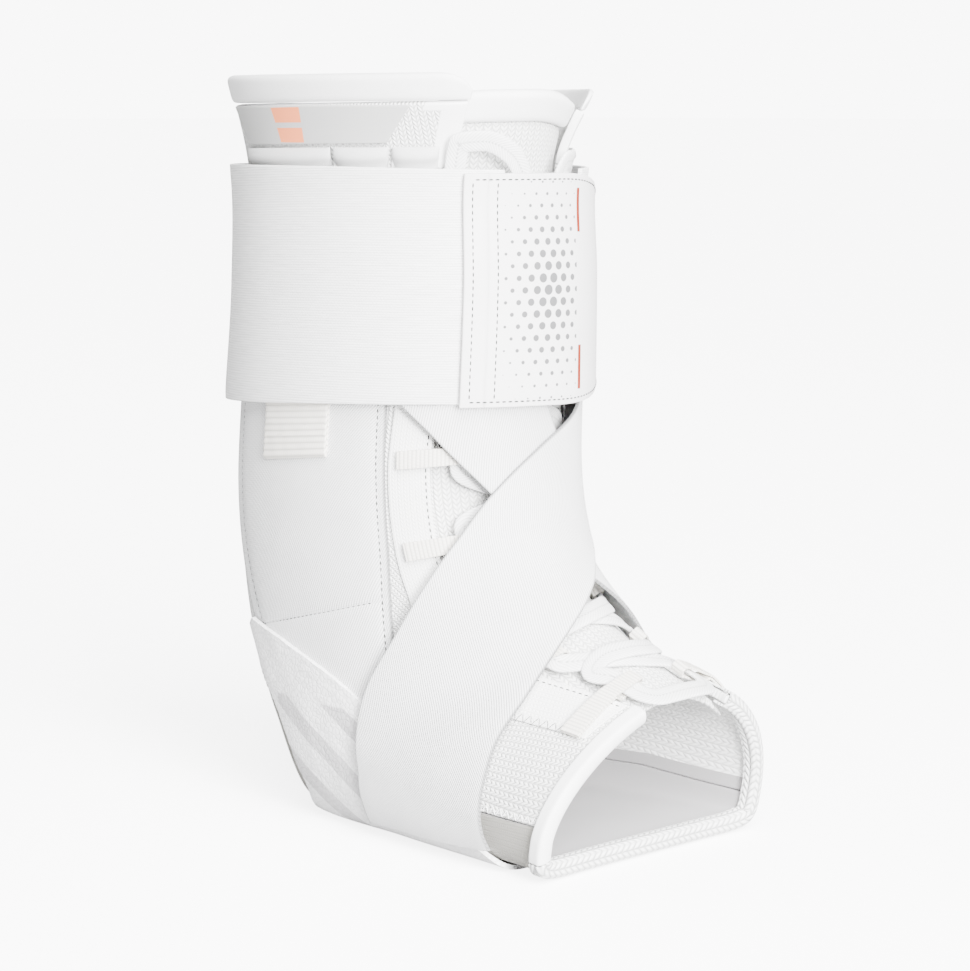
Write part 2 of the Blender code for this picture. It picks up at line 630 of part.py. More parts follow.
    def toe_bindings(self):
        """Channel folded over the edge of the toe opening: smooth near side, knit below and far."""
        out, under = TURNED_GAP + BINDING / 2, -KNIT - SOLE_INSET - TURNED_GAP - BINDING / 2
        profile = ((BINDING_LEG, out), (BINDING_HEEL, out), (-BINDING_NOSE, out - BINDING_CORNER),
                   (-BINDING_NOSE, under + BINDING_CORNER), (BINDING_HEEL, under),
                   (BINDING_LEG, under))
        edge, seam = lookup(THROAT_ROWS, TOE_EDGE), lookup(SOLE_SEAM_ROWS, TOE_EDGE)
        knit = [edge + (seam - edge) * share for share in SIDE_LINES[:-1]]
        sole = [seam + 2 * (1 - seam) * share for share in SOLE_LINES]
        near = knit + sole[:BINDING_SPLIT_LINE + 1]
        rest = sole[BINDING_SPLIT_LINE:]
        rest += [2 - girth for girth in reversed(knit + sole[:-1])]
        rest[0] += BINDING_GAP
        for name, girths, material in (("toe_binding_near", near, "soft_lining"),
                                       ("toe_binding_sole", rest, "white_knit")):
            def surface(t, c, extra):
                back, lift = (np.interp(c, even(len(profile)), column) for column in zip(*profile))
                return place(TOE_EDGE - back / stretch(TOE_EDGE + 0 * t, t)[0], t, lift + extra)
            self.sheet(name, surface, girths, even(len(profile)), BINDING, material, offset=0.0)

    def lace_loops(self):
        """Webbing loops on the facings: one ring each, round the lace."""
        low = SEAM_GAP + FACING + LAYER_GAP + WEBBING / 2
        high = low + WEBBING + SEAM_GAP
        eye = tuple((inward * LOOP_REACH, lift * LAYER) for inward, lift in LOOP_EYE_ROWS)
        for name, side in SIDES:
            for number, station in enumerate(LOOP_STATIONS, 1):
                at_toe = number == len(LOOP_STATIONS)
                root, slant = (TOE_LOOP_ROOT, TOE_LOOP_SLANT) if at_toe else (LOOP_ROOT, 0.0)
                stops = even(3 if at_toe else 2) * (root - LOOP_BEND) - root
                lower = (*((stop, low) for stop in stops), (LOOP_LAP, low))
                upper = ((LOOP_LAP, high), *((stop, high) for stop in stops[::-1]), (-root, low))
                profile = lower + eye + upper

                def surface(t, c, extra, side=side, station=station, profile=profile, root=root,
                            slant=slant):
                    along = even(len(profile))
                    inward, lift = (np.interp(t, along, column) for column in zip(*profile))
                    edge = side * lookup(THROAT_ROWS, station)
                    down, around = stretch(station + 0 * t, edge + 0 * t)
                    outward = (LOOP_EYE_REACH - inward) / (LOOP_EYE_REACH + root)
                    level = station + ((c - 0.5) * LOOP_WIDTH + outward * slant) / down
                    return place(level, edge - side * inward / around, lift + extra)
                self.sheet(f"lace_loop_{name}_{number}", surface, even(len(profile)), even(2),
                           WEBBING, "webbing", offset=0.0)

    def lace(self):
        """One flat lace: from its bow down through the loops, across the toe end and back up."""
        def eye(number, side):
            station = LOOP_STATIONS[number]
            edge = lookup(THROAT_ROWS, station)
            down, around = stretch(station, edge)
            return station, side * (edge - LOOP_EYE_REACH / around), LOOP_EYE_HALF / down

        def strand(side, lifts, toe_crossing=()):
            """Eyelet points and crossings from the top loop to the lowest, starting on one side."""
            rows = []
            last = len(LOOP_STATIONS) - 1
            for number in range(last + 1):
                station, girth, half = eye(number, side)
                rows += [(station + half * share, girth, LACE_IN_EYE) for share in (-1, 1)]
                if number == last - 1 and toe_crossing:
                    rows += toe_crossing
                elif number < last:
                    middle = (station + LOOP_STATIONS[number + 1]) / 2
                    rows.append((middle, 0.0, lifts[number % 2]))
                side = -side
            return rows
        first = strand(1, (LACE_UNDER, LACE_OVER), TOE_CROSSING_ROWS)
        second = strand(-1, (LACE_OVER, LACE_UNDER))
        rows = (list(reversed(NEAR_BOW_ROWS)) + first + list(TOE_BAR_ROWS) + list(reversed(second))
                + list(FAR_BOW_ROWS))

        def surface(t, c, extra):
            def middle(x, lift):
                row = smooth(rows, x, level=True)
                return place(row[..., 0], row[..., 1], row[..., 2] * LAYER + lift)
            centre = middle(t, 0.0)
            ahead = middle(t + LACE_PROBE, 0.0) - middle(t - LACE_PROBE, 0.0)
            up = (middle(t, LAYER) - centre) / LAYER
            across = np.cross(up, ahead)
            across /= np.linalg.norm(across, axis=-1, keepdims=True)
            return centre + across * ((c - 0.5) * LACE_WIDTH)[..., None] + up * extra[..., None]
        self.sheet("lace", surface, even(2 * (len(rows) - 1) + 1), even(2), LACE_THICKNESS, "lace_cord",
                   offset=0.0)

    def build(self):
        self.knit_sides()
        self.sole_piece()
        self.collar()
        self.tongue()
        self.side_panels()
        self.facings()
        self.wrap()
        self.straps()
        self.toe_bindings()
        self.lace_loops()
        self.lace()


def main():
    for item in list(bpy.data.objects):
        bpy.data.objects.remove(item, do_unlink=True)
    Brace().build()


main()
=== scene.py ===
"""Looks of a lace-up ankle brace: knit boot, padding, straps, laces, stitching and studio.

Metres, +Z up, toes along -Y. The side seen in the photograph is called near and lies at -X.
Every soft piece is laid on one form, the outer surface of the knit boot. A place on the form has a
station, from 0 above the collar to 1 at the toe opening, and a girth, from 0 on the front ridge to
+1 (near) or -1 (far) on the back seam and the sole's centre line.
"""

import bpy
import numpy as np
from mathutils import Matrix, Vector


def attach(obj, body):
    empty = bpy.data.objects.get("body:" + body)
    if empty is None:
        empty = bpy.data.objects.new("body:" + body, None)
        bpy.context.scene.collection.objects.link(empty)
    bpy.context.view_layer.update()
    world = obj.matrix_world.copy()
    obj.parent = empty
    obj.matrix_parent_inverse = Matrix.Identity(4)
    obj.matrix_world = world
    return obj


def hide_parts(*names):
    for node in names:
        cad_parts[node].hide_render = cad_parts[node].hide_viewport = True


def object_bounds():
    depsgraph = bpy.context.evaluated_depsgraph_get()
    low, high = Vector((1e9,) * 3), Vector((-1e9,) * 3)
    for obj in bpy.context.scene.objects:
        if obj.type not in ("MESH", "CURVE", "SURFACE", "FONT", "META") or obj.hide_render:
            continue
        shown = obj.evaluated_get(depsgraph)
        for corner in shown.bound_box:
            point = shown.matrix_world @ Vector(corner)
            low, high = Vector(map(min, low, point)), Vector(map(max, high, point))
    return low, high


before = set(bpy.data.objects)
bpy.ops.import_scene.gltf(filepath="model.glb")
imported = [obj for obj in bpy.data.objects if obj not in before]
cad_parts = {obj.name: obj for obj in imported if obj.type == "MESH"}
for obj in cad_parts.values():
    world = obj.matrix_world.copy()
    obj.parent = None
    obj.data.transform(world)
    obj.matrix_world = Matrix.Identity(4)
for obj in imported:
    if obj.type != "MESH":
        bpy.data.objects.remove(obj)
CAD_BOX = [list(corner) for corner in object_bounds()]

bl_info = {
    "name": "Lace-up ankle brace",
    "version": (1, 0, 0),
    "blender": (4, 5, 0),
    "location": "3D View > Sidebar > Brace",
    "description": "Models the soft pieces, stitching and studio of a lace-up ankle brace",
    "category": "Add Mesh",
}

MM = 0.001
SCALE = (CAD_BOX[1][2] - CAD_BOX[0][2]) / (258.83 * MM)
NEAR, FAR = 1, -1
SIDES = (("near", NEAR), ("far", FAR))

# The form's rows, one per station, as shares of the named sizes
FORM_COLUMNS = ("shin", "foot", "front_z", "heel", "sole", "back_z",
                "width", "widest", "front_power", "back_power", "ridge", "shift")
FORM_ROWS = (
    (1.27, 0.00, 1.000, 1.050, 0.000, 1.000, 1.09, 0.50, 2.05, 2.1, 0.00, 0.00),
    (1.01, 0.00, 0.870, 0.923, 0.000, 0.859, 0.94, 0.50, 2.05, 2.1, 0.00, 0.00),
    (1.01, 0.00, 0.725, 0.923, 0.000, 0.706, 0.94, 0.50, 2.05, 2.1, 0.00, 0.00),
    (1.00, 0.00, 0.592, 0.972, 0.000, 0.553, 0.96, 0.50, 2.05, 2.1, 0.00, 0.00),
    (0.98, 0.00, 0.489, 1.000, 0.000, 0.427, 0.97, 0.50, 2.05, 2.1, 0.00, 0.00),
    (1.03, 0.00, 0.412, 0.993, 0.000, 0.313, 0.95, 0.50, 2.05, 2.1, 0.02, 0.00),
    (0.80, 0.17, 0.359, 0.923, 0.000, 0.206, 0.92, 0.50, 2.00, 2.2, 0.04, 0.00),
    (0.60, 0.36, 0.317, 0.755, 0.000, 0.099, 0.91, 0.52, 1.95, 2.3, 0.08, 0.00),
    (0.40, 0.56, 0.282, 0.392, 0.000, -0.015, 0.93, 0.56, 1.95, 2.5, 0.12, 0.01),
    (0.20, 0.75, 0.254, 0.000, 0.235, -0.023, 0.98, 0.61, 1.90, 2.8, 0.16, 0.02),
    (0.10, 0.88, 0.233, 0.000, 0.605, -0.023, 1.03, 0.65, 1.85, 3.0, 0.18, 0.04),
    (0.00, 1.00, 0.214, 0.000, 0.916, -0.023, 1.08, 0.68, 1.85, 3.2, 0.20, 0.06),
)
COLLAR_TOP, COLLAR_BOTTOM = 0.010, 0.034
KNIT_TOP = 0.0355
TOE_EDGE = 0.997
HEEL_SEAM_TOP, HEEL_POINT = 0.455, 0.468
FOOT_MIDDLE = np.array([0.0, -20 * MM, 45 * MM])
PADS_TOP, PADS_BOTTOM = 0.072, 0.106
SINK_END, SINK_WIDTH = 0.088, 0.4
TONGUE_TOP, TONGUE_BINDING_BOTTOM, TONGUE_TOE = 0.031, 0.058, 0.962
TONGUE_GIRTH = 0.235
LOOP_EYE_REACH = 9.6 * MM
LOOP_STATIONS = (0.150, 0.248, 0.346, 0.475, 0.605, 0.735, 0.890)
THROAT_ROWS = ((0.00, 0.155), (0.15, 0.175), (0.35, 0.200), (0.55, 0.205), (0.80, 0.190), (1.00, 0.160))
SOLE_SEAM_ROWS = ((0.455, 1.000), (0.55, 0.860), (0.65, 0.740), (0.75, 0.640), (0.85, 0.565),
                  (1.00, 0.530))
FACING_ROWS = ((0.00, 0.080), (0.55, 0.080), (0.75, 0.125), (1.00, 0.135))
FINGER_GIRTHS = ((0.700, 0.422), (0.415, 0.296), (0.289, 0.200))
PANEL_SEAM, PANEL_FRONT_SEAM = 6 * MM, 2.8 * MM
PANEL_FOOT = 0.715
PANEL_FOOT_SLOPE = 0.012
PULL_LOOP_GIRTHS = (0.575, 0.408)
PULL_LOOP_STATIONS = (0.235, 0.336)

# Sheets between two edges: station and girth of the two ends of each rung, and the lift there
PATCH_RUNGS = (
    (0.0358, 0.735, 0.0690, 0.690, 0.4 * MM),
    (0.0358, 0.580, 0.0690, 0.560, 0.4 * MM),
    (0.0358, 0.410, 0.0690, 0.420, 0.4 * MM),
    (0.0358, 0.260, 0.0690, 0.300, 0.4 * MM),
)
STAY_RUNGS = (
    (0.150, 0.730, 0.150, 0.290, 0.5 * MM),
    (0.280, 0.730, 0.284, 0.290, 0.5 * MM),
    (0.400, 0.727, 0.390, 0.290, 0.5 * MM),
    (0.500, 0.712, 0.490, 0.303, 0.5 * MM),
    (0.560, 0.702, 0.585, 0.338, 0.5 * MM),
    (0.622, 0.700, 0.698, 0.400, 0.5 * MM),
)
WRAP_RUNGS = (
    (0.532, 0.712, 0.526, 0.694, 2.5 * MM),
    (0.585, 0.706, 0.560, 0.610, 2.5 * MM),
    (0.630, 0.700, 0.600, 0.545, 2.5 * MM),
    (0.664, 0.698, 0.642, 0.497, 2.5 * MM),
    (0.692, 0.706, 0.690, 0.467, 2.0 * MM),
    (0.714, 0.728, 0.742, 0.500, 0.9 * MM),
    (0.728, 0.765, 0.800, 0.570, 0.3 * MM),
    (0.736, 0.810, 0.860, 0.615, 0.3 * MM),
    (0.740, 0.850, 0.930, 0.650, 0.3 * MM),
    (0.742, 0.890, 0.950, 0.700, 0.3 * MM),
    (0.743, 0.945, 0.948, 0.850, 0.3 * MM),
    (0.744, 1.000, 0.944, 1.000, 0.3 * MM),
)
NEAR_STRAP_RUNGS = (
    (0.790, 0.706, 0.934, 0.622, 2.4 * MM),
    (0.778, 0.665, 0.918, 0.590, 2.6 * MM),
    (0.764, 0.625, 0.900, 0.535, 3.0 * MM),
    (0.745, 0.570, 0.880, 0.470, 3.8 * MM),
    (0.718, 0.518, 0.854, 0.393, 4.8 * MM),
    (0.670, 0.440, 0.814, 0.265, 5.2 * MM),
    (0.616, 0.340, 0.762, 0.153, 5.3 * MM),
    (0.546, 0.248, 0.694, 0.055, 5.8 * MM),
    (0.474, 0.175, 0.628, -0.015, 5.8 * MM),
    (0.400, 0.100, 0.560, -0.085, 5.8 * MM),
    (0.340, 0.002, 0.490, -0.165, 5.8 * MM),
    (0.294, -0.125, 0.420, -0.250, 5.8 * MM),
    (0.235, -0.215, 0.335, -0.330, 4.8 * MM),
    (0.180, -0.270, 0.250, -0.385, 3.8 * MM),
)
FAR_STRAP_RUNGS = (
    (0.786, -0.690, 0.926, -0.612, 2.5 * MM),
    (0.778, -0.665, 0.918, -0.590, 2.6 * MM),
    (0.764, -0.625, 0.900, -0.535, 3.0 * MM),
    (0.745, -0.570, 0.880, -0.470, 3.8 * MM),
    (0.718, -0.518, 0.854, -0.393, 4.6 * MM),
    (0.670, -0.440, 0.800, -0.265, 4.6 * MM),
    (0.612, -0.350, 0.730, -0.170, 4.0 * MM),
    (0.545, -0.270, 0.655, -0.080, 3.6 * MM),
    (0.475, -0.200, 0.575, -0.020, 3.6 * MM),
    (0.410, -0.130, 0.490, 0.040, 3.6 * MM),
    (0.352, -0.075, 0.400, 0.100, 3.6 * MM),
    (0.305, -0.030, 0.324, 0.193, 3.6 * MM),
    (0.255, 0.020, 0.275, 0.275, 4.0 * MM),
    (0.190, 0.090, 0.215, 0.370, 4.0 * MM),
)
TOP_STRAP_RUNGS = (
    (0.0900, 0.085, 0.2880, 0.085, 5.9 * MM),
    (0.0880, 0.250, 0.2840, 0.250, 5.9 * MM),
    (0.0860, 0.450, 0.2800, 0.450, 5.5 * MM),
    (0.0840, 0.800, 0.2780, 0.800, 5.3 * MM),
    (0.0840, 1.000, 0.2770, 1.000, 5.1 * MM),
    (0.0840, 1.200, 0.2780, 1.200, 5.3 * MM),
    (0.0860, 1.450, 0.2800, 1.450, 5.4 * MM),
    (0.0880, 1.650, 0.2830, 1.650, 6.6 * MM),
    (0.0890, 1.780, 0.2860, 1.780, 7.0 * MM),
    (0.0900, 1.900, 0.2880, 1.900, 7.0 * MM),
)
TAB_RUNGS = (
    (0.0920, 0.155, 0.2890, 0.158, 7.8 * MM),
    (0.0920, 0.050, 0.2910, 0.055, 8.2 * MM),
    (0.0930, -0.060, 0.2920, -0.060, 9.1 * MM),
    (0.1020, -0.150, 0.2860, -0.145, 9.4 * MM),
    (0.1130, -0.215, 0.2760, -0.210, 9.4 * MM),
)
NEAR_BOW_ROWS = (
    (0.125, 0.128, 0.3 * MM),
    (0.109, 0.142, 1.8 * MM),
    (0.090, 0.168, 2.0 * MM),
    (0.069, 0.166, 2.4 * MM),
    (0.066, 0.122, 2.8 * MM),
    (0.077, 0.070, 3.0 * MM),
    (0.105, 0.030, 3.0 * MM),
    (0.175, 0.000, 3.0 * MM),
)
TOE_CROSSING_ROWS = (
    (0.790, -0.035, -0.5 * MM),
    (0.785, 0.060, -0.5 * MM),
    (0.820, 0.130, -0.4 * MM),
)
FAR_BOW_ROWS = (
    (0.125, -0.128, 0.3 * MM),
    (0.102, -0.132, 1.8 * MM),
    (0.084, -0.128, 2.4 * MM),
    (0.084, -0.092, 3.0 * MM),
    (0.110, -0.065, 3.0 * MM),
    (0.175, -0.070, 3.0 * MM),
)

PROBE = 1e-3
STATION_LIMITS = (-0.05, 1.05)
STATION_COUNT = 221
ANGLE_COUNT = 181
SHARE_COUNT = 121
_angles = {}


def length(name, description, default):
    return bpy.props.FloatProperty(name=name, description=description, default=default * SCALE,
                                   unit="LENGTH", subtype="DISTANCE", precision=5)


def colour(name, description, default):
    return bpy.props.FloatVectorProperty(name=name, description=description, default=default,
                                         subtype="COLOR", size=3, min=0.0, max=1.0)


class BraceSizes(bpy.types.PropertyGroup):
    """Sizes of the form and of its materials."""
    form_height: length("Form height", "Height of the form's top section", 262 * MM)
    shin_reach: length("Shin reach", "From the leg's axis to the shin line", 57 * MM)
    heel_reach: length("Heel reach", "From the leg's axis to the back of the heel", 71.5 * MM)
    foot_reach: length("Foot reach", "From the leg's axis to the toe opening", 119 * MM)
    half_width: length("Half width", "Half the width of the leg", 50 * MM)
    sole_roll: length("Sole roll", "Radius of the sole's rounded edge", 6 * MM)
    far_sink: length("Far sink", "How far the far side's top edge sags", 6 * MM)
    knit: length("Knit", "Thickness of the knit sides and the sole", 3.0 * MM)
    collar: length("Collar", "Thickness of the collar's padding", 4.0 * MM)
    tongue: length("Tongue", "Thickness of the tongue", 3.8 * MM)
    finger: length("Finger", "Thickness of the padded fingers", 3.6 * MM)
    patch: length("Patch", "Thickness of the grey patch", 0.9 * MM)
    facing: length("Facing", "Thickness of the eyelet facing", 0.6 * MM)
    stay_panel: length("Stay panel", "Thickness of the side panels", 1.5 * MM)
    wrap: length("Wrap", "Thickness of the heel wrap", 1.6 * MM)
    cross_strap: length("Cross strap", "Thickness of the crossed straps", 1.2 * MM)
    top_strap: length("Top strap", "Thickness of the closing strap", 1.4 * MM)
    tab: length("Tab", "Thickness of the closure tab", 1.8 * MM)
    webbing: length("Webbing", "Thickness of the loop webbing", 0.7 * MM)
    lace_width: length("Lace width", "Width of the flat lace", 7.2 * MM)
    lace_thickness: length("Lace thickness", "Thickness of the flat lace", 1.6 * MM)
    stitch: length("Stitch", "Length of one stitch", 1.5 * MM)
    stitch_gap: length("Stitch gap", "Space between stitches", 0.75 * MM)
    thread: length("Thread", "Thickness of the sewing thread", 0.5 * MM)


class BraceColours(bpy.types.PropertyGroup):
    """Colours of the materials."""
    knit: colour("Knit", "White knit", (0.98, 0.98, 0.97))
    sole: colour("Sole", "Grey knit of the sole piece", (0.30, 0.29, 0.265))
    insole: colour("Insole", "Smooth inside of the sole piece", (0.36, 0.35, 0.355))
    lining: colour("Lining", "Smooth collar and binding", (0.97, 0.97, 0.97))
    foam: colour("Foam", "Grey patch below the collar", (0.46, 0.46, 0.455))
    bars: colour("Bars", "Pale bars on the near patch", (0.90, 0.25, 0.09))
    padding: colour("Padding", "Padded fingers", (0.66, 0.66, 0.66))
    twill: colour("Twill", "Cross straps and side panels", (0.92, 0.92, 0.925))
    wrap: colour("Wrap", "Synthetic leather of the heel wrap", (0.93, 0.925, 0.93))
    wrap_bar: colour("Wrap bar", "Printed bars on the heel wrap", (0.58, 0.57, 0.58))
    elastic: colour("Elastic", "Closing strap", (0.88, 0.88, 0.88))
    tab: colour("Tab", "Ground of the closure tab", (0.76, 0.75, 0.755))
    print: colour("Print", "Grey dots on the closure tab", (0.095, 0.095, 0.098))
    accent: colour("Accent", "Orange line on the closure tab", (0.22, 0.020, 0.003))
    webbing: colour("Webbing", "Webbing loops", (0.86, 0.83, 0.77))
    lace: colour("Lace", "Flat lace", (0.88, 0.88, 0.88))
    thread: colour("Thread", "Sewing thread", (0.035, 0.034, 0.034))
    floor: colour("Floor", "Studio floor", (0.95, 0.95, 0.95))


def sizes():
    return bpy.context.scene.brace_sizes


def colours():
    return bpy.context.scene.brace_colours


def level_slopes(values):
    """Slopes that never overshoot a row, and are level beside a run of equal values."""
    steps = np.diff(values, axis=0)
    before, after = steps[:-1], steps[1:]
    same_way = before * after > 0
    shared = 2 * before * after / np.where(same_way, before + after, 1.0)
    return np.concatenate([steps[:1], np.where(same_way, shared, 0.0), steps[-1:]])


def smooth(values, x, level=False):
    """A cubic curve through evenly spaced rows of values, read at x from 0 to 1."""
    values = np.asarray(values, float)
    slopes = level_slopes(values) if level else np.gradient(values, axis=0)
    place_in = np.asarray(x, float) * (len(values) - 1)
    row = np.clip(np.floor(place_in).astype(int), 0, len(values) - 2)
    along = (place_in - row)[..., None]
    inside = np.clip(along, 0, 1)
    curve = ((2 * inside**3 - 3 * inside**2 + 1) * values[row]
             + (inside**3 - 2 * inside**2 + inside) * slopes[row]
             + (3 * inside**2 - 2 * inside**3) * values[row + 1]
             + (inside**3 - inside**2) * slopes[row + 1])
    end_slope = np.where(along > 1, slopes[row + 1], slopes[row])
    return curve + (along - inside) * end_slope


def lookup(rows, station):
    stations, girths = zip(*rows)
    return np.interp(station, stations, girths)


def section(station, angle):
    """Point of the form at a station and an angle round its section (0 in front, + near)."""
    size = sizes()
    sole_lift = size.wrap + 0.3 * MM
    station, angle = np.broadcast_arrays(np.asarray(station, float), np.asarray(angle, float))
    row = smooth(FORM_ROWS, station)
    value = {name: row[..., index] for index, name in enumerate(FORM_COLUMNS)}
    front = np.stack([-value["shin"] * size.shin_reach - value["foot"] * size.foot_reach,
                      value["front_z"] * size.form_height], -1)
    back = np.stack([value["heel"] * size.heel_reach - value["sole"] * size.foot_reach,
                     value["back_z"] * size.form_height], -1)
    depth = np.linalg.norm(front - back, axis=-1)
    forward = (front - back) / depth[..., None]
    middle = front - forward * (depth * value["widest"])[..., None]
    ahead, aside = np.cos(angle), np.sin(angle)
    reach = np.where(ahead > 0, depth * value["widest"], depth * (1 - value["widest"]))
    power = np.where(ahead > 0, value["front_power"], value["back_power"])
    width = value["width"] * size.half_width
    radius = ((np.abs(ahead) / reach)**power + (np.abs(aside) / width)**power)**(-1 / power)
    up = radius * ahead
    ridge = value["ridge"] * size.half_width * np.clip(up / (depth * value["widest"]), 0, 1)**1.5
    across = value["shift"] * size.half_width - radius * aside + ridge
    side_view = middle + forward * up[..., None]
    height = side_view[..., 1] - sole_lift
    outward = np.clip(across / (SINK_WIDTH * size.half_width), 0, 1)
    height = height - size.far_sink * outward**2 * np.clip(1 - station / SINK_END, 0, 1)
    rolled = (height + size.sole_roll)**2 / (4 * size.sole_roll)
    height = np.where(height < -size.sole_roll, 0, np.where(height > size.sole_roll, height, rolled))
    return np.stack([across, side_view[..., 0], height + sole_lift], -1)


def girth_table(side):
    """Angles at even shares of the half girth, at evenly spaced stations."""
    if side not in _angles:
        stations = np.linspace(*STATION_LIMITS, STATION_COUNT)
        angles = np.linspace(0, np.pi, ANGLE_COUNT)
        points = section(stations[:, None], side * angles[None, :])
        steps = np.linalg.norm(np.diff(points, axis=1), axis=-1)
        lengths = np.concatenate([np.zeros((STATION_COUNT, 1)), np.cumsum(steps, axis=1)], 1)
        shares = np.linspace(0, 1, SHARE_COUNT)
        _angles[side] = np.array([np.interp(shares * line[-1], line, angles) for line in lengths])
    return _angles[side]


def angle_at(station, girth):
    station, girth = np.broadcast_arrays(np.asarray(station, float), np.asarray(girth, float))
    girth = (girth + 1) % 2 - 1
    low, high = STATION_LIMITS
    row = np.clip((station - low) / (high - low) * (STATION_COUNT - 1), 0, STATION_COUNT - 1.001)
    column = np.clip(np.abs(girth) * (SHARE_COUNT - 1), 0, SHARE_COUNT - 1.001)
    i, j = row.astype(int), column.astype(int)
    a, b = row - i, column - j

    def read(table):
        return ((table[i, j] * (1 - a) + table[i + 1, j] * a) * (1 - b)
                + (table[i, j + 1] * (1 - a) + table[i + 1, j + 1] * a) * b)

    return np.where(girth >= 0, read(girth_table(NEAR)), -read(girth_table(FAR)))


def place(station, girth, lift=0.0):
    """Point at a lift above the form."""
    angle = angle_at(station, girth)
    station = np.asarray(station, float)
    down = section(station + PROBE, angle) - section(station - PROBE, angle)
    round_it = section(station, angle + PROBE) - section(station, angle - PROBE)
    normal = np.cross(round_it, down)
    normal /= np.linalg.norm(normal, axis=-1, keepdims=True)
    return section(station, angle) + normal * np.asarray(lift)[..., None]


def stretch(station, girth):
    """Metres per unit of station and per unit of girth at a place on the form."""
    down = place(station + PROBE, girth) - place(station - PROBE, girth)
    round_it = place(station, girth + PROBE) - place(station, girth - PROBE)
    return (np.linalg.norm(down, axis=-1) / (2 * PROBE),
            np.linalg.norm(round_it, axis=-1) / (2 * PROBE))


def even(count):
    return np.linspace(0, 1, count)


def eased(count):
    """Shares from 0 to 1, closer together at both ends."""
    return (1 - np.cos(np.pi * np.linspace(0, 1, count))) / 2


def between(rungs):
    """Surface between two edges: t runs from rung to rung, c from the first edge to the second."""
    def surface(t, c, extra):
        row = smooth(rungs, t)
        station = row[..., 0] * (1 - c) + row[..., 2] * c
        girth = row[..., 1] * (1 - c) + row[..., 3] * c
        return place(station, girth, row[..., 4] + extra)
    return surface


def mirrored(rungs):
    return tuple((a, -b, c, -d, lift) for a, b, c, d, lift in rungs)


def on_side(rungs, side):
    return rungs if side == NEAR else mirrored(rungs)


def round_the_back(rungs):
    """Rungs that end on the back seam or the sole's centre, carried on up the far side."""
    onward = tuple((a, 2 - b, c, 2 - d, lift) for a, b, c, d, lift in reversed(rungs[:-1]))
    return rungs + onward


def ripple(along, across, wave, seed):
    """A soft unevenness from -1 to 1, the sum of a few long waves in seeded directions."""
    dice = np.random.default_rng(seed)
    total = 0 * along
    for _ in range(6):
        turn, phase = dice.uniform(0, 2 * np.pi, 2)
        stretch_by = dice.uniform(0.6, 1.6)
        reach = along * np.cos(turn) + across * np.sin(turn)
        total = total + np.sin(2 * np.pi * reach / (wave * stretch_by) + phase)
    return total / 6


def measured(surface, lines, rungs):
    """Lengths along and across a surface at its grid's points, in metres."""
    t, c = np.meshgrid(lines, rungs, indexing="ij")
    points = surface(t, c, 0 * t)
    middle = points[:, len(rungs) // 2]
    along = np.concatenate([[0], np.cumsum(np.linalg.norm(np.diff(middle, axis=0), axis=-1))])
    widths = np.linalg.norm(np.diff(points, axis=1), axis=-1)
    across = np.concatenate([np.zeros((len(lines), 1)), np.cumsum(widths, axis=1)], 1)
    area = (widths[:-1].sum(axis=1) + widths[1:].sum(axis=1)) / 2 @ np.diff(along)
    return along, across, area


def start_grid(name, columns, rows):
    bpy.ops.object.select_all(action="DESELECT")
    bpy.ops.mesh.primitive_grid_add(x_subdivisions=columns, y_subdivisions=rows, size=1)
    piece = bpy.context.object
    piece.name = name
    return piece


def lay(name, surface, lines, rungs, relief=None, turned=False):
    """Grid laid on a surface, its UV map in metres along and across the cloth."""
    piece = start_grid(name, len(lines) - 1, len(rungs) - 1)
    mesh = piece.data
    flat = np.empty(len(mesh.vertices) * 3)
    mesh.vertices.foreach_get("co", flat)
    flat = flat.reshape(-1, 3)[:, :2] + 0.5
    column = np.rint(flat[:, 0] * (len(lines) - 1)).astype(int)
    row = np.rint(flat[:, 1] * (len(rungs) - 1)).astype(int)
    t, c = np.asarray(lines)[column], np.asarray(rungs)[row]
    along, across, area = measured(surface, lines, rungs)
    u, v = along[column], across[column, row]
    centre = across[column, -1] / 2
    inset = np.minimum(v, 2 * centre - v)
    extra = 0 * t if relief is None else relief(t, c, u, v - centre, inset)
    points = surface(t, c, extra)
    mesh.vertices.foreach_set("co", points.ravel())
    corners = np.empty(len(mesh.loops), int)
    mesh.loops.foreach_get("vertex_index", corners)
    uv = np.stack([u, v - centre], -1)[corners]
    mesh.uv_layers.active.data.foreach_set("uv", uv.ravel())
    mesh.attributes.new("inset", "FLOAT", "POINT").data.foreach_set("value", inset)
    mesh.attributes.new("run", "FLOAT", "POINT").data.foreach_set("value", t)
    mesh.attributes.new("share", "FLOAT", "POINT").data.foreach_set("value", c)
    on_edge = (column % (len(lines) - 1) == 0) | (row % (len(rungs) - 1) == 0)
    mesh.attributes.new("edge", "FLOAT", "POINT").data.foreach_set("value", on_edge.astype(float))
    mesh.update()
    first = mesh.polygons[0]
    here = first.vertices[0]
    outward = surface(t[here:here + 1], c[here:here + 1], extra[here:here + 1] + MM)[0] - points[here]
    if (np.array(first.normal) @ outward < 0) != turned:
        edit(piece, lambda: bpy.ops.mesh.flip_normals())
    piece["flat_area"] = float(area)
    piece["flat_width"] = float(across[:, -1].max())
    piece["flat_length"] = float(along[-1])
    return piece


def edit(piece, work):
    """Run edit-mode work on the whole of one piece."""
    bpy.ops.object.select_all(action="DESELECT")
    piece.select_set(True)
    bpy.context.view_layer.objects.active = piece
    bpy.ops.object.mode_set(mode="EDIT")
    bpy.ops.mesh.select_all(action="SELECT")
    work()
    bpy.ops.object.mode_set(mode="OBJECT")


def modify(piece, name, kind, **settings):
    """Add a modifier with its settings, and apply it."""
    modifier = piece.modifiers.new(name, kind)
    for setting, value in settings.items():
        setattr(modifier, setting, value)
    apply(piece, name)


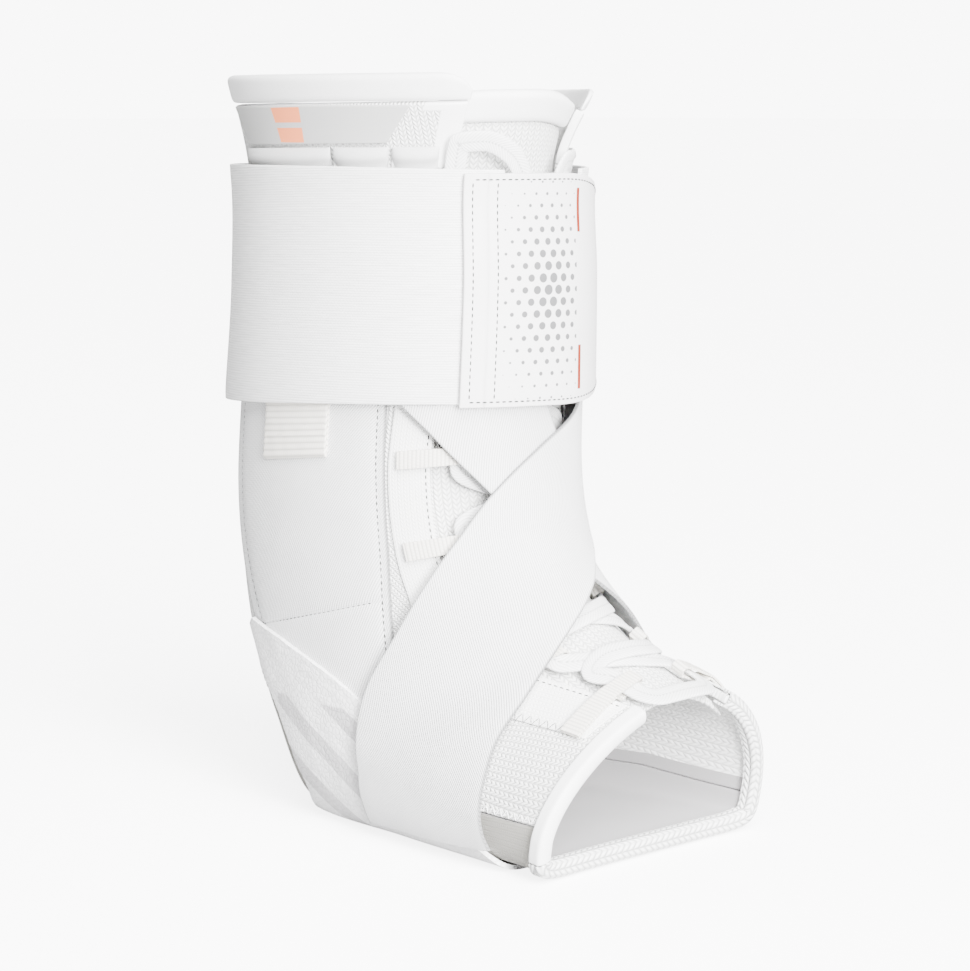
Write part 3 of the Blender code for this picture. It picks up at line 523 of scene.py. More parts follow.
def apply(piece, name):
    """Apply one modifier."""
    bpy.ops.object.select_all(action="DESELECT")
    piece.select_set(True)
    bpy.context.view_layer.objects.active = piece
    bpy.ops.object.modifier_apply(modifier=name)


def join(name, pieces, weld=1e-5):
    """Join pieces into one, welding the edges where they meet."""
    bpy.ops.object.select_all(action="DESELECT")
    for piece in pieces:
        piece.select_set(True)
    bpy.context.view_layer.objects.active = pieces[0]
    facts = {key: pieces[0][key] for key in ("flat_width", "flat_length") if key in pieces[0]}
    area = sum(piece.get("flat_area", 0.0) for piece in pieces)
    if len(pieces) > 1:
        bpy.ops.object.join()
    whole = bpy.context.object
    whole.name = name
    if weld:
        edit(whole, lambda: bpy.ops.mesh.remove_doubles(threshold=weld))
    whole["flat_area"] = area
    for key, value in facts.items():
        whole[key] = value
    return whole


def thicken(piece, thickness, offset=1.0, rounding=0.25 * MM, segments=2):
    modify(piece, "Thickness", "SOLIDIFY", thickness=thickness, offset=offset, use_even_offset=True,
           use_quality_normals=True)
    if rounding:
        modify(piece, "Rounding", "BEVEL", width=rounding, segments=segments, limit_method="ANGLE",
               angle_limit=np.radians(50))
    piece.data.shade_smooth()


def finish(piece, material, nodes=()):
    """Give a piece its material, hang it from the root body and hide the CAD nodes that it stands for."""
    piece.data.materials.clear()
    piece.data.materials.append(material)
    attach(piece, "root")
    if nodes:
        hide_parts(*nodes)
    return piece


def cloth(piece):
    """Reads the size a piece was cut to; the values are not stored."""
    width, long, area = piece["flat_width"], piece["flat_length"], piece["flat_area"]
    area = min(area, width * long)


def sew(name, surface, way, zigzag=0.0, depth=0.0):
    """Row of stitches along a way over a surface: way(x) gives t and c for x from 0 to 1."""
    size = sizes()
    t, c = way(np.linspace(0, 1, 600))
    points = surface(t, c, 0 * t + depth)
    up = surface(t, c, 0 * t + depth + MM) - points
    up /= np.linalg.norm(up, axis=-1, keepdims=True)
    along = np.gradient(points, axis=0)
    aside = np.cross(up, along)
    aside /= np.linalg.norm(aside, axis=-1, keepdims=True)
    reach = np.concatenate([[0], np.cumsum(np.linalg.norm(np.diff(points, axis=0), axis=-1))])
    pitch = size.stitch + (0.1 * MM if zigzag else size.stitch_gap)
    count = max(1, int(reach[-1] / pitch))
    bpy.ops.object.select_all(action="DESELECT")
    bpy.ops.mesh.primitive_uv_sphere_add(segments=8, ring_count=6, radius=0.5)
    thread = bpy.context.object
    thread.name = name
    bead = vertices(thread)
    bead = bead[:, [2, 0, 1]] * (size.stitch, size.thread, size.thread)
    bead[:, 0] += pitch / 2
    set_vertices(thread, bead)
    modify(thread, "Row", "ARRAY", count=count, use_relative_offset=False, use_constant_offset=True,
           constant_offset_displace=(pitch, 0, 0))
    spots = vertices(thread)
    spare = (reach[-1] - count * pitch) / 2
    at = spots[:, 0] + spare
    wave = zigzag * (2 * np.abs(2 * (spots[:, 0] / (2 * pitch) % 1) - 1) - 1)
    inside = [np.stack([np.interp(at, reach, part[:, axis]) for axis in range(3)], -1)
              for part in (points, aside, up)]
    set_vertices(thread, inside[0] + inside[1] * (spots[:, 1] + wave)[:, None]
                 + inside[2] * spots[:, 2][:, None])
    thread.data.shade_smooth()
    return thread


def read_points(piece, name):
    """A named value of each point."""
    values = np.empty(len(piece.data.vertices))
    piece.data.attributes[name].data.foreach_get("value", values)
    return values


def vertices(piece):
    flat = np.empty(len(piece.data.vertices) * 3)
    piece.data.vertices.foreach_get("co", flat)
    return flat.reshape(-1, 3)


def set_vertices(piece, points):
    piece.data.vertices.foreach_set("co", np.ascontiguousarray(points).ravel())
    piece.data.update()


def pillow(name, surface, lines, rungs, thickness, fill=8.0, floor=0.25, relief=None):
    """Padded piece: two faces that meet all round in a rounded edge."""
    def swell(t, c):
        along = np.clip(1 - np.abs(2 * t - 1)**fill, 0, 1)
        across = np.clip(1 - np.abs(2 * c - 1)**fill, 0, 1)
        return (along * across)**0.45

    def face(sign, share):
        def lifted(t, c, extra):
            base = thickness * share + sign * thickness * (1 - share if sign > 0 else share) * swell(t, c)
            return surface(t, c, extra + base)
        return lifted
    top = lay(name, face(1, floor), lines, rungs, relief)
    bottom = lay(name + "_under", face(-1, floor), lines, rungs, turned=True)
    area = top["flat_area"]
    whole = join(name, [top, bottom], weld=2e-5)
    whole["flat_area"] = area
    whole.data.shade_smooth()
    return whole


def sewn_edge(piece):
    """Which points lie on the edge where the two faces of a padded piece meet."""
    return read_points(piece, "edge") > 0.5


def inflate(piece, pressure=4.0, cap=0.8 * MM):
    """Blow a padded piece up with the cloth solver, its sewn edges held still."""
    rest = vertices(piece)
    held = np.flatnonzero(sewn_edge(piece))
    group = piece.vertex_groups.new(name="sewn")
    group.add(held.tolist(), 1.0, "REPLACE")
    puff = piece.modifiers.new("Puff", "CLOTH")
    puff.settings.vertex_group_mass = "sewn"
    puff.settings.use_pressure = True
    puff.settings.uniform_pressure_force = pressure
    puff.settings.effector_weights.gravity = 0.0
    puff.collision_settings.use_collision = False
    scene = bpy.context.scene
    for number in range(1, 21):
        scene.frame_set(number)
    apply(piece, "Puff")
    scene.frame_set(1)
    moved = vertices(piece) - rest
    far = np.linalg.norm(moved, axis=-1, keepdims=True)
    set_vertices(piece, rest + moved * np.minimum(1, cap / np.maximum(far, 1e-9)))
    piece.vertex_groups.clear()


class Value:
    """A shader value that takes Python arithmetic and adds its Math nodes."""

    def __init__(self, paint, socket):
        self.paint = paint
        self.socket = socket

    def math(self, operation, *others, clamp=False):
        return self.paint.math(operation, self, *others, clamp=clamp)

    def __add__(self, other):
        return self.math("ADD", other)

    __radd__ = __add__

    def __sub__(self, other):
        return self.math("SUBTRACT", other)

    def __rsub__(self, other):
        return self.paint.math("SUBTRACT", other, self)

    def __mul__(self, other):
        return self.math("MULTIPLY", other)

    __rmul__ = __mul__

    def __truediv__(self, other):
        return self.math("DIVIDE", other)

    def __rtruediv__(self, other):
        return self.paint.math("DIVIDE", other, self)

    def __pow__(self, other):
        return self.math("POWER", other)

    def __neg__(self):
        return self * -1.0

    def __abs__(self):
        return self.math("ABSOLUTE")

    def sine(self):
        return self.math("SINE")

    def part(self):
        return self.math("FRACT")

    def floor(self):
        return self.math("FLOOR")

    def least(self, other):
        return self.math("MINIMUM", other)

    def most(self, other):
        return self.math("MAXIMUM", other)

    def above(self, edge, softness):
        """0 below an edge and 1 above it, over a soft step."""
        return ((self - edge) / softness + 0.5).math("ADD", 0.0, clamp=True)

    def inside(self, low, high, softness):
        return self.above(low, softness) * (1 - self.above(high, softness))


class Paint:
    """Builds one material's nodes round its Principled shader."""

    def __init__(self, name, roughness=0.8, sheen=0.0, coat=0.0, specular=0.35):
        self.material = bpy.data.materials.new(name)
        self.material.use_nodes = True
        self.tree = self.material.node_tree
        self.shader = self.tree.nodes["Principled BSDF"]
        self.shader.inputs["Roughness"].default_value = roughness
        self.shader.inputs["Sheen Weight"].default_value = sheen
        self.shader.inputs["Sheen Roughness"].default_value = 0.5
        self.shader.inputs["Coat Weight"].default_value = coat
        self.shader.inputs["Specular IOR Level"].default_value = specular

    def node(self, kind, settings=None, **inputs):
        """A node of a type, with its settings and then the values or links of its sockets."""
        made = self.tree.nodes.new(kind)
        for key, value in (settings or {}).items():
            setattr(made, key, value)
        for key, value in inputs.items():
            self.feed(made.inputs[key.replace("_", " ")], value)
        return made

    def feed(self, socket, value):
        if isinstance(value, Value):
            value = value.socket
        if isinstance(value, bpy.types.NodeSocket):
            self.tree.links.new(value, socket)
        elif hasattr(value, "__len__") and len(value) == 3 and socket.type == "RGBA":
            socket.default_value = (*value, 1.0)
        else:
            socket.default_value = value

    def math(self, operation, *terms, clamp=False):
        made = self.node("ShaderNodeMath", {"operation": operation, "use_clamp": clamp})
        for socket, term in zip(made.inputs, terms):
            self.feed(socket, term)
        return Value(self, made.outputs[0])

    def split(self, vector):
        made = self.node("ShaderNodeSeparateXYZ", None, Vector=vector)
        return tuple(Value(self, output) for output in made.outputs)

    def cloth_place(self):
        """Metres along and across the cloth, from its UV map."""
        made = self.node("ShaderNodeUVMap", {"uv_map": "UVMap"})
        along, across, _ = self.split(made.outputs["UV"])
        return along, across

    def painted_edge_shadow(self, reach, depth):
        """Painted shadow at the long edges: 1 on the cloth, falling by a depth within a reach of its long
        edges.
        """
        inset = Value(self, self.node("ShaderNodeAttribute", {"attribute_name": "inset"}).outputs["Fac"])
        return 1 - depth * (1 - (inset / reach).least(1.0))

    def object_place(self):
        return self.node("ShaderNodeTexCoord").outputs["Object"]

    def noise(self, scale, detail=3.0, roughness=0.5):
        made = self.node("ShaderNodeTexNoise", None, Vector=self.object_place(), Scale=scale,
                         Detail=detail, Roughness=roughness)
        return Value(self, made.outputs["Fac"])

    def mix(self, factor, first, second):
        made = self.node("ShaderNodeMix", {"data_type": "RGBA"})
        self.feed(made.inputs["Factor"], factor)
        self.feed(made.inputs[6], first)
        self.feed(made.inputs[7], second)
        return made.outputs[2]

    def shade(self, colour_in, amount):
        """A colour darkened where amount is below 1."""
        made = self.node("ShaderNodeVectorMath", {"operation": "SCALE"})
        self.feed(made.inputs[0], colour_in)
        self.feed(made.inputs["Scale"], amount)
        return made.outputs[0]

    def rgb(self, value):
        made = self.node("ShaderNodeRGB")
        made.outputs[0].default_value = (*value, 1.0)
        return made.outputs[0]

    def finish(self, base, height=None, bump=0.3, distance=0.4 * MM, roughness=None):
        self.feed(self.shader.inputs["Base Color"], base)
        if roughness is not None:
            self.feed(self.shader.inputs["Roughness"], roughness)
        if height is not None:
            made = self.node("ShaderNodeBump", None, Height=height, Strength=bump, Distance=distance)
            self.feed(self.shader.inputs["Normal"], made.outputs["Normal"])
        return self.material


def weave_rows(across, along, row, cell):
    """Fine ribs that run along the cloth, each broken into threads: 0 in the grooves, 1 on top."""
    rib = abs((across * (np.pi / row)).sine())
    offset = (across / row).floor() * 0.5
    thread = abs(((along / cell + offset) * np.pi).sine())
    return rib**0.6 * (0.75 + 0.25 * thread)


def twill(along, across, pitch):
    """Diagonal twill lines crossed by fine threads."""
    diagonal = abs(((along * 0.8 + across) * (np.pi / pitch)).sine())
    threads = abs((along * (np.pi / (pitch * 0.55))).sine())
    return diagonal**0.7 * (0.7 + 0.3 * threads)


def knit_stitches(along, across, column, course):
    """Columns of V-shaped knit stitches."""
    cell = (across / column).part() - 0.5
    arm = abs(cell)
    loops = abs(((along / course + arm * 1.6) * np.pi).sine())
    groove = 1 - (arm * 2.0)**5.0
    spine = 1 - 0.5 * (1 - (arm * 5.0).least(1.0))
    return loops**0.7 * groove * spine


def knit_material(name, tint, column=2.6 * MM, course=1.7 * MM, depth=0.38, bump=0.9):
    paint = Paint(name, roughness=0.85, sheen=0.15)
    along, across = paint.cloth_place()
    height = knit_stitches(along, across, column, course)
    drift = paint.noise(60.0)
    # Painted shade: the grooves between the knit stitches are darkened by depth; the drift is random tone.
    tone = 1 - depth * (1 - height) + (drift - 0.5) * 0.12
    return paint.finish(paint.shade(paint.rgb(tint), tone), height, bump=bump, distance=0.5 * MM)


def smooth_material(name, tint, grain=2600.0, bump=0.12, roughness=0.75):
    paint = Paint(name, roughness=roughness, sheen=0.2)
    fuzz = paint.noise(grain, detail=2.0)
    drift = paint.noise(45.0)
    tone = 1 - 0.12 * (1 - fuzz) + (drift - 0.5) * 0.10
    return paint.finish(paint.shade(paint.rgb(tint), tone), fuzz, bump=bump, distance=0.3 * MM)


def twill_material(name, tint, pitch=1.0 * MM):
    paint = Paint(name, roughness=0.8, sheen=0.15)
    along, across = paint.cloth_place()
    height = twill(along, across, pitch)
    drift = paint.noise(70.0)
    # Painted shade in the twill's grooves and painted shadow along the long edges, plus random drift in tone.
    tone = (1 - 0.50 * (1 - height) + (drift - 0.5) * 0.14) * paint.painted_edge_shadow(0.9 * MM, 0.7)
    return paint.finish(paint.shade(paint.rgb(tint), tone), height, bump=0.7, distance=0.3 * MM)


def elastic_material():
    paint = Paint("elastic_rib", roughness=0.8, sheen=0.15)
    along, across = paint.cloth_place()
    height = weave_rows(across, along, 0.85 * MM, 1.3 * MM)
    slub = paint.node("ShaderNodeTexNoise", None, Scale=1.0, Detail=2.0)
    stretched = paint.node("ShaderNodeCombineXYZ", None, X=along * 90.0, Y=across * 1400.0)
    paint.feed(slub.inputs["Vector"], stretched.outputs[0])
    streak = Value(paint, slub.outputs["Fac"])
    # Painted shade in the grooves between the ribs, plus random slub streaks in tone.
    tone = 1 - 0.25 * (1 - height) + (streak - 0.5) * 0.35
    return paint.finish(paint.shade(paint.rgb(colours().elastic), tone), height, bump=0.4,
                        distance=0.25 * MM)


def webbing_material(name, tint, rib=1.6 * MM):
    paint = Paint(name, roughness=0.75, sheen=0.1)
    along, across = paint.cloth_place()
    height = weave_rows(along, across, rib, 1.1 * MM)
    # Painted shade in the grooves between the ribs.
    tone = 1 - 0.38 * (1 - height)
    return paint.finish(paint.shade(paint.rgb(tint), tone), height, bump=0.5, distance=0.4 * MM)


def lace_material():
    paint = Paint("lace_weave", roughness=0.7, sheen=0.1)
    along, across = paint.cloth_place()
    arm = abs(across)
    height = abs(((along / (1.5 * MM) + arm / (1.1 * MM)) * np.pi).sine())
    line = 1 - abs(arm / (0.45 * MM)).least(1.0)
    dash = abs((along * (np.pi / (1.6 * MM))).sine())
    # Painted shade in the weave's grooves, and a darker dashed line down the middle.
    tone = 1 - 0.25 * (1 - height) - 0.40 * line * dash
    return paint.finish(paint.shade(paint.rgb(colours().lace), tone), height, bump=0.4,
                        distance=0.3 * MM)


def thread_material(name="sewing_thread", tint=None):
    paint = Paint(name, roughness=0.6)
    twist = paint.noise(3000.0, detail=1.0)
    return paint.finish(paint.shade(paint.rgb(tint or colours().thread), 0.9 + 0.2 * twist), twist,
                        bump=0.2, distance=0.1 * MM)


def patch_material(with_bars):
    """Grey foam-backed cloth; the near patch has two pale bars one above the other."""
    paint = Paint("grey_foam_barred" if with_bars else "grey_foam_plain", roughness=0.8, sheen=0.1)
    along, across = paint.cloth_place()
    grain = paint.noise(2200.0, detail=2.0)
    base = paint.shade(paint.rgb(colours().foam), 0.97 + 0.06 * grain)
    if with_bars:
        wide = along.inside(27.5 * MM, 41.0 * MM, 0.15 * MM)
        tall = across.inside(-6.2 * MM, -0.9 * MM, 0.15 * MM) + across.inside(0.9 * MM, 6.0 * MM, 0.15 * MM)
        base = paint.mix(wide * tall, base, paint.rgb(colours().bars))
    return paint.finish(base, grain, bump=0.15, distance=0.3 * MM)


def wrap_material():
    """Wrinkled synthetic leather with slanted bars printed on its wings."""
    paint = Paint("wrinkled_synthetic_leather", roughness=0.45, coat=0.08, specular=0.4)
    wrinkles = paint.node("ShaderNodeTexVoronoi", {"feature": "DISTANCE_TO_EDGE"},
                          Vector=paint.object_place(), Scale=520.0, Randomness=1.0)
    crease = (Value(paint, wrinkles.outputs["Distance"]) * 6.0).least(1.0)
    broad = paint.noise(120.0, detail=4.0)
    x, y, z = paint.split(paint.object_place())
    slant = z - y * 0.6
    bar = (slant / (19 * MM) + 0.83).part().inside(0.25, 0.66, 0.02)
    band = y.inside(-34 * MM, 22 * MM, 1.0 * MM) * (1 - z.above(44 * MM, 1.0 * MM))
    grey = paint.mix(bar * band, paint.rgb(colours().wrap), paint.rgb(colours().wrap_bar))
    # Painted shade in the wrinkle creases, plus broad random variation in tone.
    tone = 0.86 + 0.14 * crease + (broad - 0.5) * 0.15
    return paint.finish(paint.shade(grey, tone), crease * 0.5 + broad, bump=0.5, distance=0.5 * MM,
                        roughness=0.42 + 0.15 * (1 - crease))


def tab_material():
    """Smooth laminate: rows of round grey dots, largest in the middle, and a slim orange line."""
    paint = Paint("printed_laminate", roughness=0.55, coat=0.05)
    along, across = paint.cloth_place()
    pitch_along, pitch_across = 4.6 * MM, 4.0 * MM
    row = (across / pitch_across + 40.5).floor()
    shift = (row * 0.5).part()
    cell_x = ((along / pitch_along + shift).part() - 0.5) * pitch_along
    cell_y = ((across / pitch_across + 40.5).part() - 0.5) * pitch_across
    from_dot = (cell_x * cell_x + cell_y * cell_y)**0.5
    far_x, far_y = (along - 31 * MM) / (24 * MM), across / (44 * MM)
    from_middle = (far_x * far_x + far_y * far_y)**0.5
    radius = (1.75 * MM) * (1.05 - from_middle).most(0.0)
    dots = (radius - from_dot).above(0.0, 0.12 * MM) * along.inside(12 * MM, 44 * MM, 0.2 * MM)
    base = paint.mix(dots * 0.95, paint.rgb(colours().tab), paint.rgb(colours().print))
    line = along.inside(45.2 * MM, 47.0 * MM, 0.15 * MM)
    line = line * (1 - across.inside(-19 * MM, 19 * MM, 0.2 * MM)) * across.inside(-34 * MM, 34 * MM, 0.2 * MM)
    base = paint.mix(line, base, paint.rgb(colours().accent))
    weld = along.inside(7.0 * MM, 8.6 * MM, 0.5 * MM)
    grain = paint.noise(3000.0, detail=2.0)
    tone = 0.97 + 0.05 * grain - 0.06 * weld
    return paint.finish(paint.shade(base, tone), grain * 0.3 - weld, bump=0.3, distance=0.4 * MM)


def paper_material():
    """White studio paper; only a part of its light falls back on the brace."""
    paint = Paint("studio_paper", roughness=0.9, specular=0.1)
    paint.shader.inputs["Emission Color"].default_value = (1.0, 1.0, 1.0, 1.0)
    paint.shader.inputs["Emission Strength"].default_value = 5.4
    paint.finish(paint.rgb(colours().floor))
    dim = paint.node("ShaderNodeBsdfDiffuse", None, Color=(0.5, 0.5, 0.5))
    mix = paint.node("ShaderNodeMixShader")
    paint.feed(mix.inputs["Fac"], paint.node("ShaderNodeLightPath").outputs["Is Camera Ray"])
    paint.feed(mix.inputs[1], dim.outputs[0])
    paint.feed(mix.inputs[2], paint.shader.outputs[0])
    paint.feed(paint.tree.nodes["Material Output"].inputs["Surface"], mix.outputs[0])
    return paint.material


class BraceOperator(bpy.types.Operator):
    bl_options = {"REGISTER", "UNDO"}


class MakeKnitBoot(BraceOperator):
    """Knit sides of the boot, joined up the back, and the grey sole piece."""
    bl_idname = "brace.knit_boot"
    bl_label = "Knit boot"

    def execute(self, context):
        size, tints = sizes(), colours()

        def side_surface(side):
            def surface(t, c, extra):
                hem = np.where(t <= HEEL_SEAM_TOP, 1.0, lookup(SOLE_SEAM_ROWS, t))
                around = stretch(t, side * hem * 0.99)[1]
                hem = np.where(t <= HEEL_SEAM_TOP, 1.0, hem - 0.2 * MM / around)
                edge = lookup(THROAT_ROWS, t)
                return place(t, side * (edge * (1 - c) + hem * c), extra - size.knit)
            return surface

        def padded_edges(t, c, u, v, inset):
            return -0.5 * MM * np.exp(-(c / 0.03)**2) + 0.12 * MM * ripple(u, v, 40 * MM, 3)
        stations = np.concatenate([np.linspace(KNIT_TOP, HEEL_SEAM_TOP, 70),
                                   [HEEL_POINT], np.linspace(0.472, TOE_EDGE, 95)])
        halves = [lay(f"knit_half_{name}", side_surface(side), stations, even(56), padded_edges)
                  for name, side in SIDES]
        boot = join("knit_boot", halves)
        thicken(boot, size.knit, rounding=0.9 * MM, segments=3)
        finish(boot, knit_material("white_knit_mesh", tints.knit), ["knit_sides"])
        insole = smooth_material("smooth_insole", tints.insole, roughness=0.85)
        boot.data.materials.append(insole)
        boot.data.materials.append(smooth_material("collar_corner", tints.lining))
        boot.data.materials.append(knit_material("inner_knit", tints.knit, 3.8 * MM, 2.6 * MM, 0.28, 0.6))
        run, share = (read_points(boot, name) for name in ("run", "share"))
        for face in boot.data.polygons:
            points = list(face.vertices)
            inner = np.array(face.normal) @ (FOOT_MIDDLE - np.array(face.center)) > 0
            reach = 0.10 if run[points].mean() < 0.042 else 0.05
            if run[points].mean() < 0.088 and share[points].mean() < reach:
                face.material_index = 2
            elif inner and run[points].mean() > HEEL_POINT:
                face.material_index = 1 if share[points].mean() > 0.90 else 3

        def sole_surface(t, c, extra):
            seam = lookup(SOLE_SEAM_ROWS, t)
            seam = seam + 0.2 * MM / stretch(t, seam * 0.99)[1]
            return place(t, seam + 2 * (1 - seam) * c, extra - size.knit - 0.5 * MM)
        lines = np.concatenate([[HEEL_POINT], np.linspace(0.472, TOE_EDGE, 110)])
        sole = lay("sole_cloth", sole_surface, lines, even(110))
        thicken(sole, size.knit, rounding=0.6 * MM)
        finish(sole, knit_material("grey_sole_knit", tints.sole, 1.8 * MM, 1.2 * MM, 0.15, 0.4),
               ["sole_piece"])
        sole.data.materials.append(insole)
        for face in sole.data.polygons:
            if np.array(face.normal) @ (FOOT_MIDDLE - np.array(face.center)) > 0:
                face.material_index = 1
        return {"FINISHED"}


class MakeCollar(BraceOperator):
    """Padded roll round the top edge of the boot."""
    bl_idname = "brace.collar"
    bl_label = "Collar"

    def execute(self, context):
        size = sizes()
        edge = lookup(THROAT_ROWS, COLLAR_TOP)

        def surface(t, c, extra):
            girth = edge + 2 * (1 - edge) * t
            down, around = stretch(COLLAR_BOTTOM + 0 * t, girth)
            from_end = np.minimum(t, 1 - t) * 2 * (1 - edge) * around
            short = np.clip(1 - from_end / (12 * MM), 0, 1)
            corner = 10 * MM * (1 - np.sqrt(1 - short**2 * 0.9)) / down
            top = COLLAR_TOP + corner
            return place(top * (1 - c) + COLLAR_BOTTOM * c, girth, extra - size.collar + 0.8 * MM)

        ends = eased(13)[:7] * 0.06
        lines = np.concatenate([ends, np.linspace(0.04, 0.96, 150), 1 - ends[::-1]])
        piece = pillow("collar_roll", surface, np.unique(lines), eased(15), size.collar, fill=6.0,
                       floor=0.35)
        finish(piece, smooth_material("brushed_lining", colours().lining), ["collar"])
        return {"FINISHED"}


class MakeTongue(BraceOperator):
    """Padded tongue under the lacing and its smooth binding."""
    bl_idname = "brace.tongue"
    bl_label = "Tongue"

    def execute(self, context):
        size, tints = sizes(), colours()
        low = -size.knit - 0.8 * MM - size.tongue

        def body(t, c, extra):
            station = TONGUE_BINDING_BOTTOM + 0.0015 + (TONGUE_TOE - TONGUE_BINDING_BOTTOM - 0.0015) * t
            return place(station, TONGUE_GIRTH * (1 - 2 * c), extra + low)
        tongue = pillow("tongue_mesh", body, eased(120), eased(41), size.tongue, fill=14.0, floor=0.3)
        finish(tongue, knit_material("tongue_knit", tints.knit, 3.0 * MM, 1.8 * MM),
               ["tongue"])

        def binding(t, c, extra):
            dip = np.clip((np.abs(2 * t - 1) - 0.55) / 0.45, 0, 1)**2 * 0.012
            top = TONGUE_TOP + dip
            return place(top * (1 - c) + TONGUE_BINDING_BOTTOM * c, TONGUE_GIRTH * (1 - 2 * t),
                         extra + low)
        roll = pillow("tongue_binding_roll", binding, eased(60), eased(15), size.tongue, fill=6.0,
                      floor=0.35)
        finish(roll, smooth_material("tongue_lining", tints.lining), ["tongue_binding"])
        return {"FINISHED"}


class MakeCollarPatches(BraceOperator):
    """Grey patches below the collar."""
    bl_idname = "brace.collar_patches"
    bl_label = "Collar patches"

    def execute(self, context):
        for name, side in SIDES:
            piece = lay(f"collar_patch_cloth_{name}", between(on_side(PATCH_RUNGS, side)), even(90),
                        even(16))
            thicken(piece, sizes().patch)
            finish(piece, patch_material(side == NEAR), [f"collar_patch_{name}"])
            cloth(piece)
        return {"FINISHED"}


class MakePaddedFingers(BraceOperator):
    """Puffy padded ends that show above the closing strap."""
    bl_idname = "brace.padded_fingers"
    bl_label = "Padded fingers"

    def execute(self, context):
        material = smooth_material("finger_padding", colours().padding)
        lift = 0.8 * MM

        def tucked(t, c, u, v, inset):
            under = np.clip((c - 0.20) / 0.30, 0, 1)
            return -1.9 * MM * under * under * (3 - 2 * under) * np.clip((1 - c) / 0.3, 0, 1)
        for name, side in SIDES:
            for number, (rear, front) in enumerate(FINGER_GIRTHS, 1):
                rungs = on_side(((PADS_TOP, rear, PADS_BOTTOM, rear, lift),
                                 (PADS_TOP, front, PADS_BOTTOM, front, lift)), side)
                count = max(24, round(200 * (rear - front)))
                piece = pillow(f"puffed_finger_{name}_{number}", between(rungs), eased(count), eased(20),
                              sizes().finger, fill=2.2, floor=0.1, relief=tucked)
                inflate(piece)
                finish(piece, material, [f"padded_finger_{name}_{number}"])
        return {"FINISHED"}


class MakeStayPanels(BraceOperator):
    """Twill panels over the side stays."""
    bl_idname = "brace.stay_panels"
    bl_label = "Stay panels"

    def execute(self, context):
        material = twill_material("stay_twill", colours().twill, 1.1 * MM)

        def relief(t, c, u, v, inset):
            seam_inset = np.where(c > 0.5, PANEL_FRONT_SEAM, PANEL_SEAM)
            seam = np.exp(-((inset - seam_inset) / (1.0 * MM))**2)
            from_foot = np.abs(t - PANEL_FOOT - PANEL_FOOT_SLOPE * c) * u.max()
            foot = np.exp(-(from_foot / (1.2 * MM))**2)
            puff = np.clip((inset - seam_inset) / (6 * MM), 0, 1) * np.clip(from_foot / (6 * MM), 0, 1)
            low = -0.35 * MM * np.maximum(seam, foot)
            return 0.5 * MM * np.sqrt(puff) + low + 0.10 * MM * ripple(u, v, 30 * MM, 11)
        for name, side in SIDES:
            piece = lay(f"stay_twill_{name}", between(on_side(STAY_RUNGS, side)), even(110), even(60),
                        relief)
            thicken(piece, sizes().stay_panel)
            finish(piece, material, [f"stay_panel_{name}"])
            cloth(piece)
        return {"FINISHED"}


def inset_ways(rungs, inset):
    """Ways along the long edges of a sheet, each a distance inside its edge."""
    def edge_way(edge):
        def way(x):
            row = smooth(rungs, x)
            ends = [place(row[..., k], row[..., k + 1]) for k in (0, 2)]
            width = np.linalg.norm(ends[1] - ends[0], axis=-1)
            share = inset / width
            return x, share if edge == 0 else 1 - share
        return way
    return edge_way(0), edge_way(1)


def part_way(way, start, end):
    """The stretch of a way between two shares of its length."""
    return lambda x: way(start + (end - start) * x)


class SewSeams(BraceOperator):
    """Rows of stitches on the panels, the closure tab, the facings and the boot's seams."""
    bl_idname = "brace.seams"
    bl_label = "Seams"

    def execute(self, context):
        size = sizes()
        grey = thread_material()
        white = thread_material("white_thread", colours().lace)
        sunk = -0.05 * MM
        for name, side in SIDES:
            surface = between(on_side(STAY_RUNGS, side))
            rungs = on_side(STAY_RUNGS, side)
            ways = inset_ways(rungs, PANEL_SEAM)[0], inset_ways(rungs, PANEL_FRONT_SEAM)[1]
            depth = size.stay_panel - 0.2 * MM
            rows = [sew("panel_rear", surface, part_way(ways[0], 0.12, 0.98), depth=depth),
                    sew("panel_front", surface, part_way(ways[1], 0.12, 0.98), depth=depth),
                    sew("panel_foot", surface,
                        lambda x: (PANEL_FOOT + PANEL_FOOT_SLOPE * (0.09 + 0.82 * x), 0.09 + 0.82 * x),
                        depth=depth)]
            finish(join(f"panel_stitches_{name}", rows, weld=0), grey)

            facing = facing_surface(side)
            row = sew(f"facing_zigzag_{name}", facing, lambda x: (0.80 + 0.15 * x, 0.93 + 0 * x),
                      zigzag=1.6 * MM, depth=size.facing + sunk)
            edge = sew("facing_edge", facing, lambda x: (0.12 + 0.83 * x, 0.10 + 0 * x),
                       depth=size.facing + sunk)
            finish(join(f"facing_stitches_{name}", [row, edge], weld=0), grey)

        tab = between(TAB_RUNGS)
        ways = inset_ways(TAB_RUNGS, 2.2 * MM)
        depth = size.tab
        rows = [sew("tab_top", tab, part_way(ways[0], 0.03, 0.96), depth=depth),
                sew("tab_bottom", tab, part_way(ways[1], 0.03, 0.96), depth=depth),
                sew("tab_outer_column", tab, lambda x: (0.035 + 0 * x, 0.03 + 0.94 * x), depth=depth),
                sew("tab_inner_column", tab, lambda x: (0.132 + 0 * x, 0.03 + 0.94 * x),
                    depth=depth + 0.05 * MM),
                sew("tab_end", tab, lambda x: (0.965 + 0 * x, 0.03 + 0.94 * x), depth=depth)]
        finish(join("tab_stitches", rows, weld=0), grey)

        sole_rows = []
        for side in (NEAR, FAR):
            def beside(x, side=side):
                station = HEEL_POINT + 0.03 + (TOE_EDGE - HEEL_POINT - 0.05) * x
                return station, side * (lookup(SOLE_SEAM_ROWS, station) - 0.012)
            sole_rows.append(sew("sole_seam", place, beside, zigzag=1.3 * MM, depth=0.05 * MM))
        finish(join("sole_stitches", sole_rows, weld=0), white)
        return {"FINISHED"}


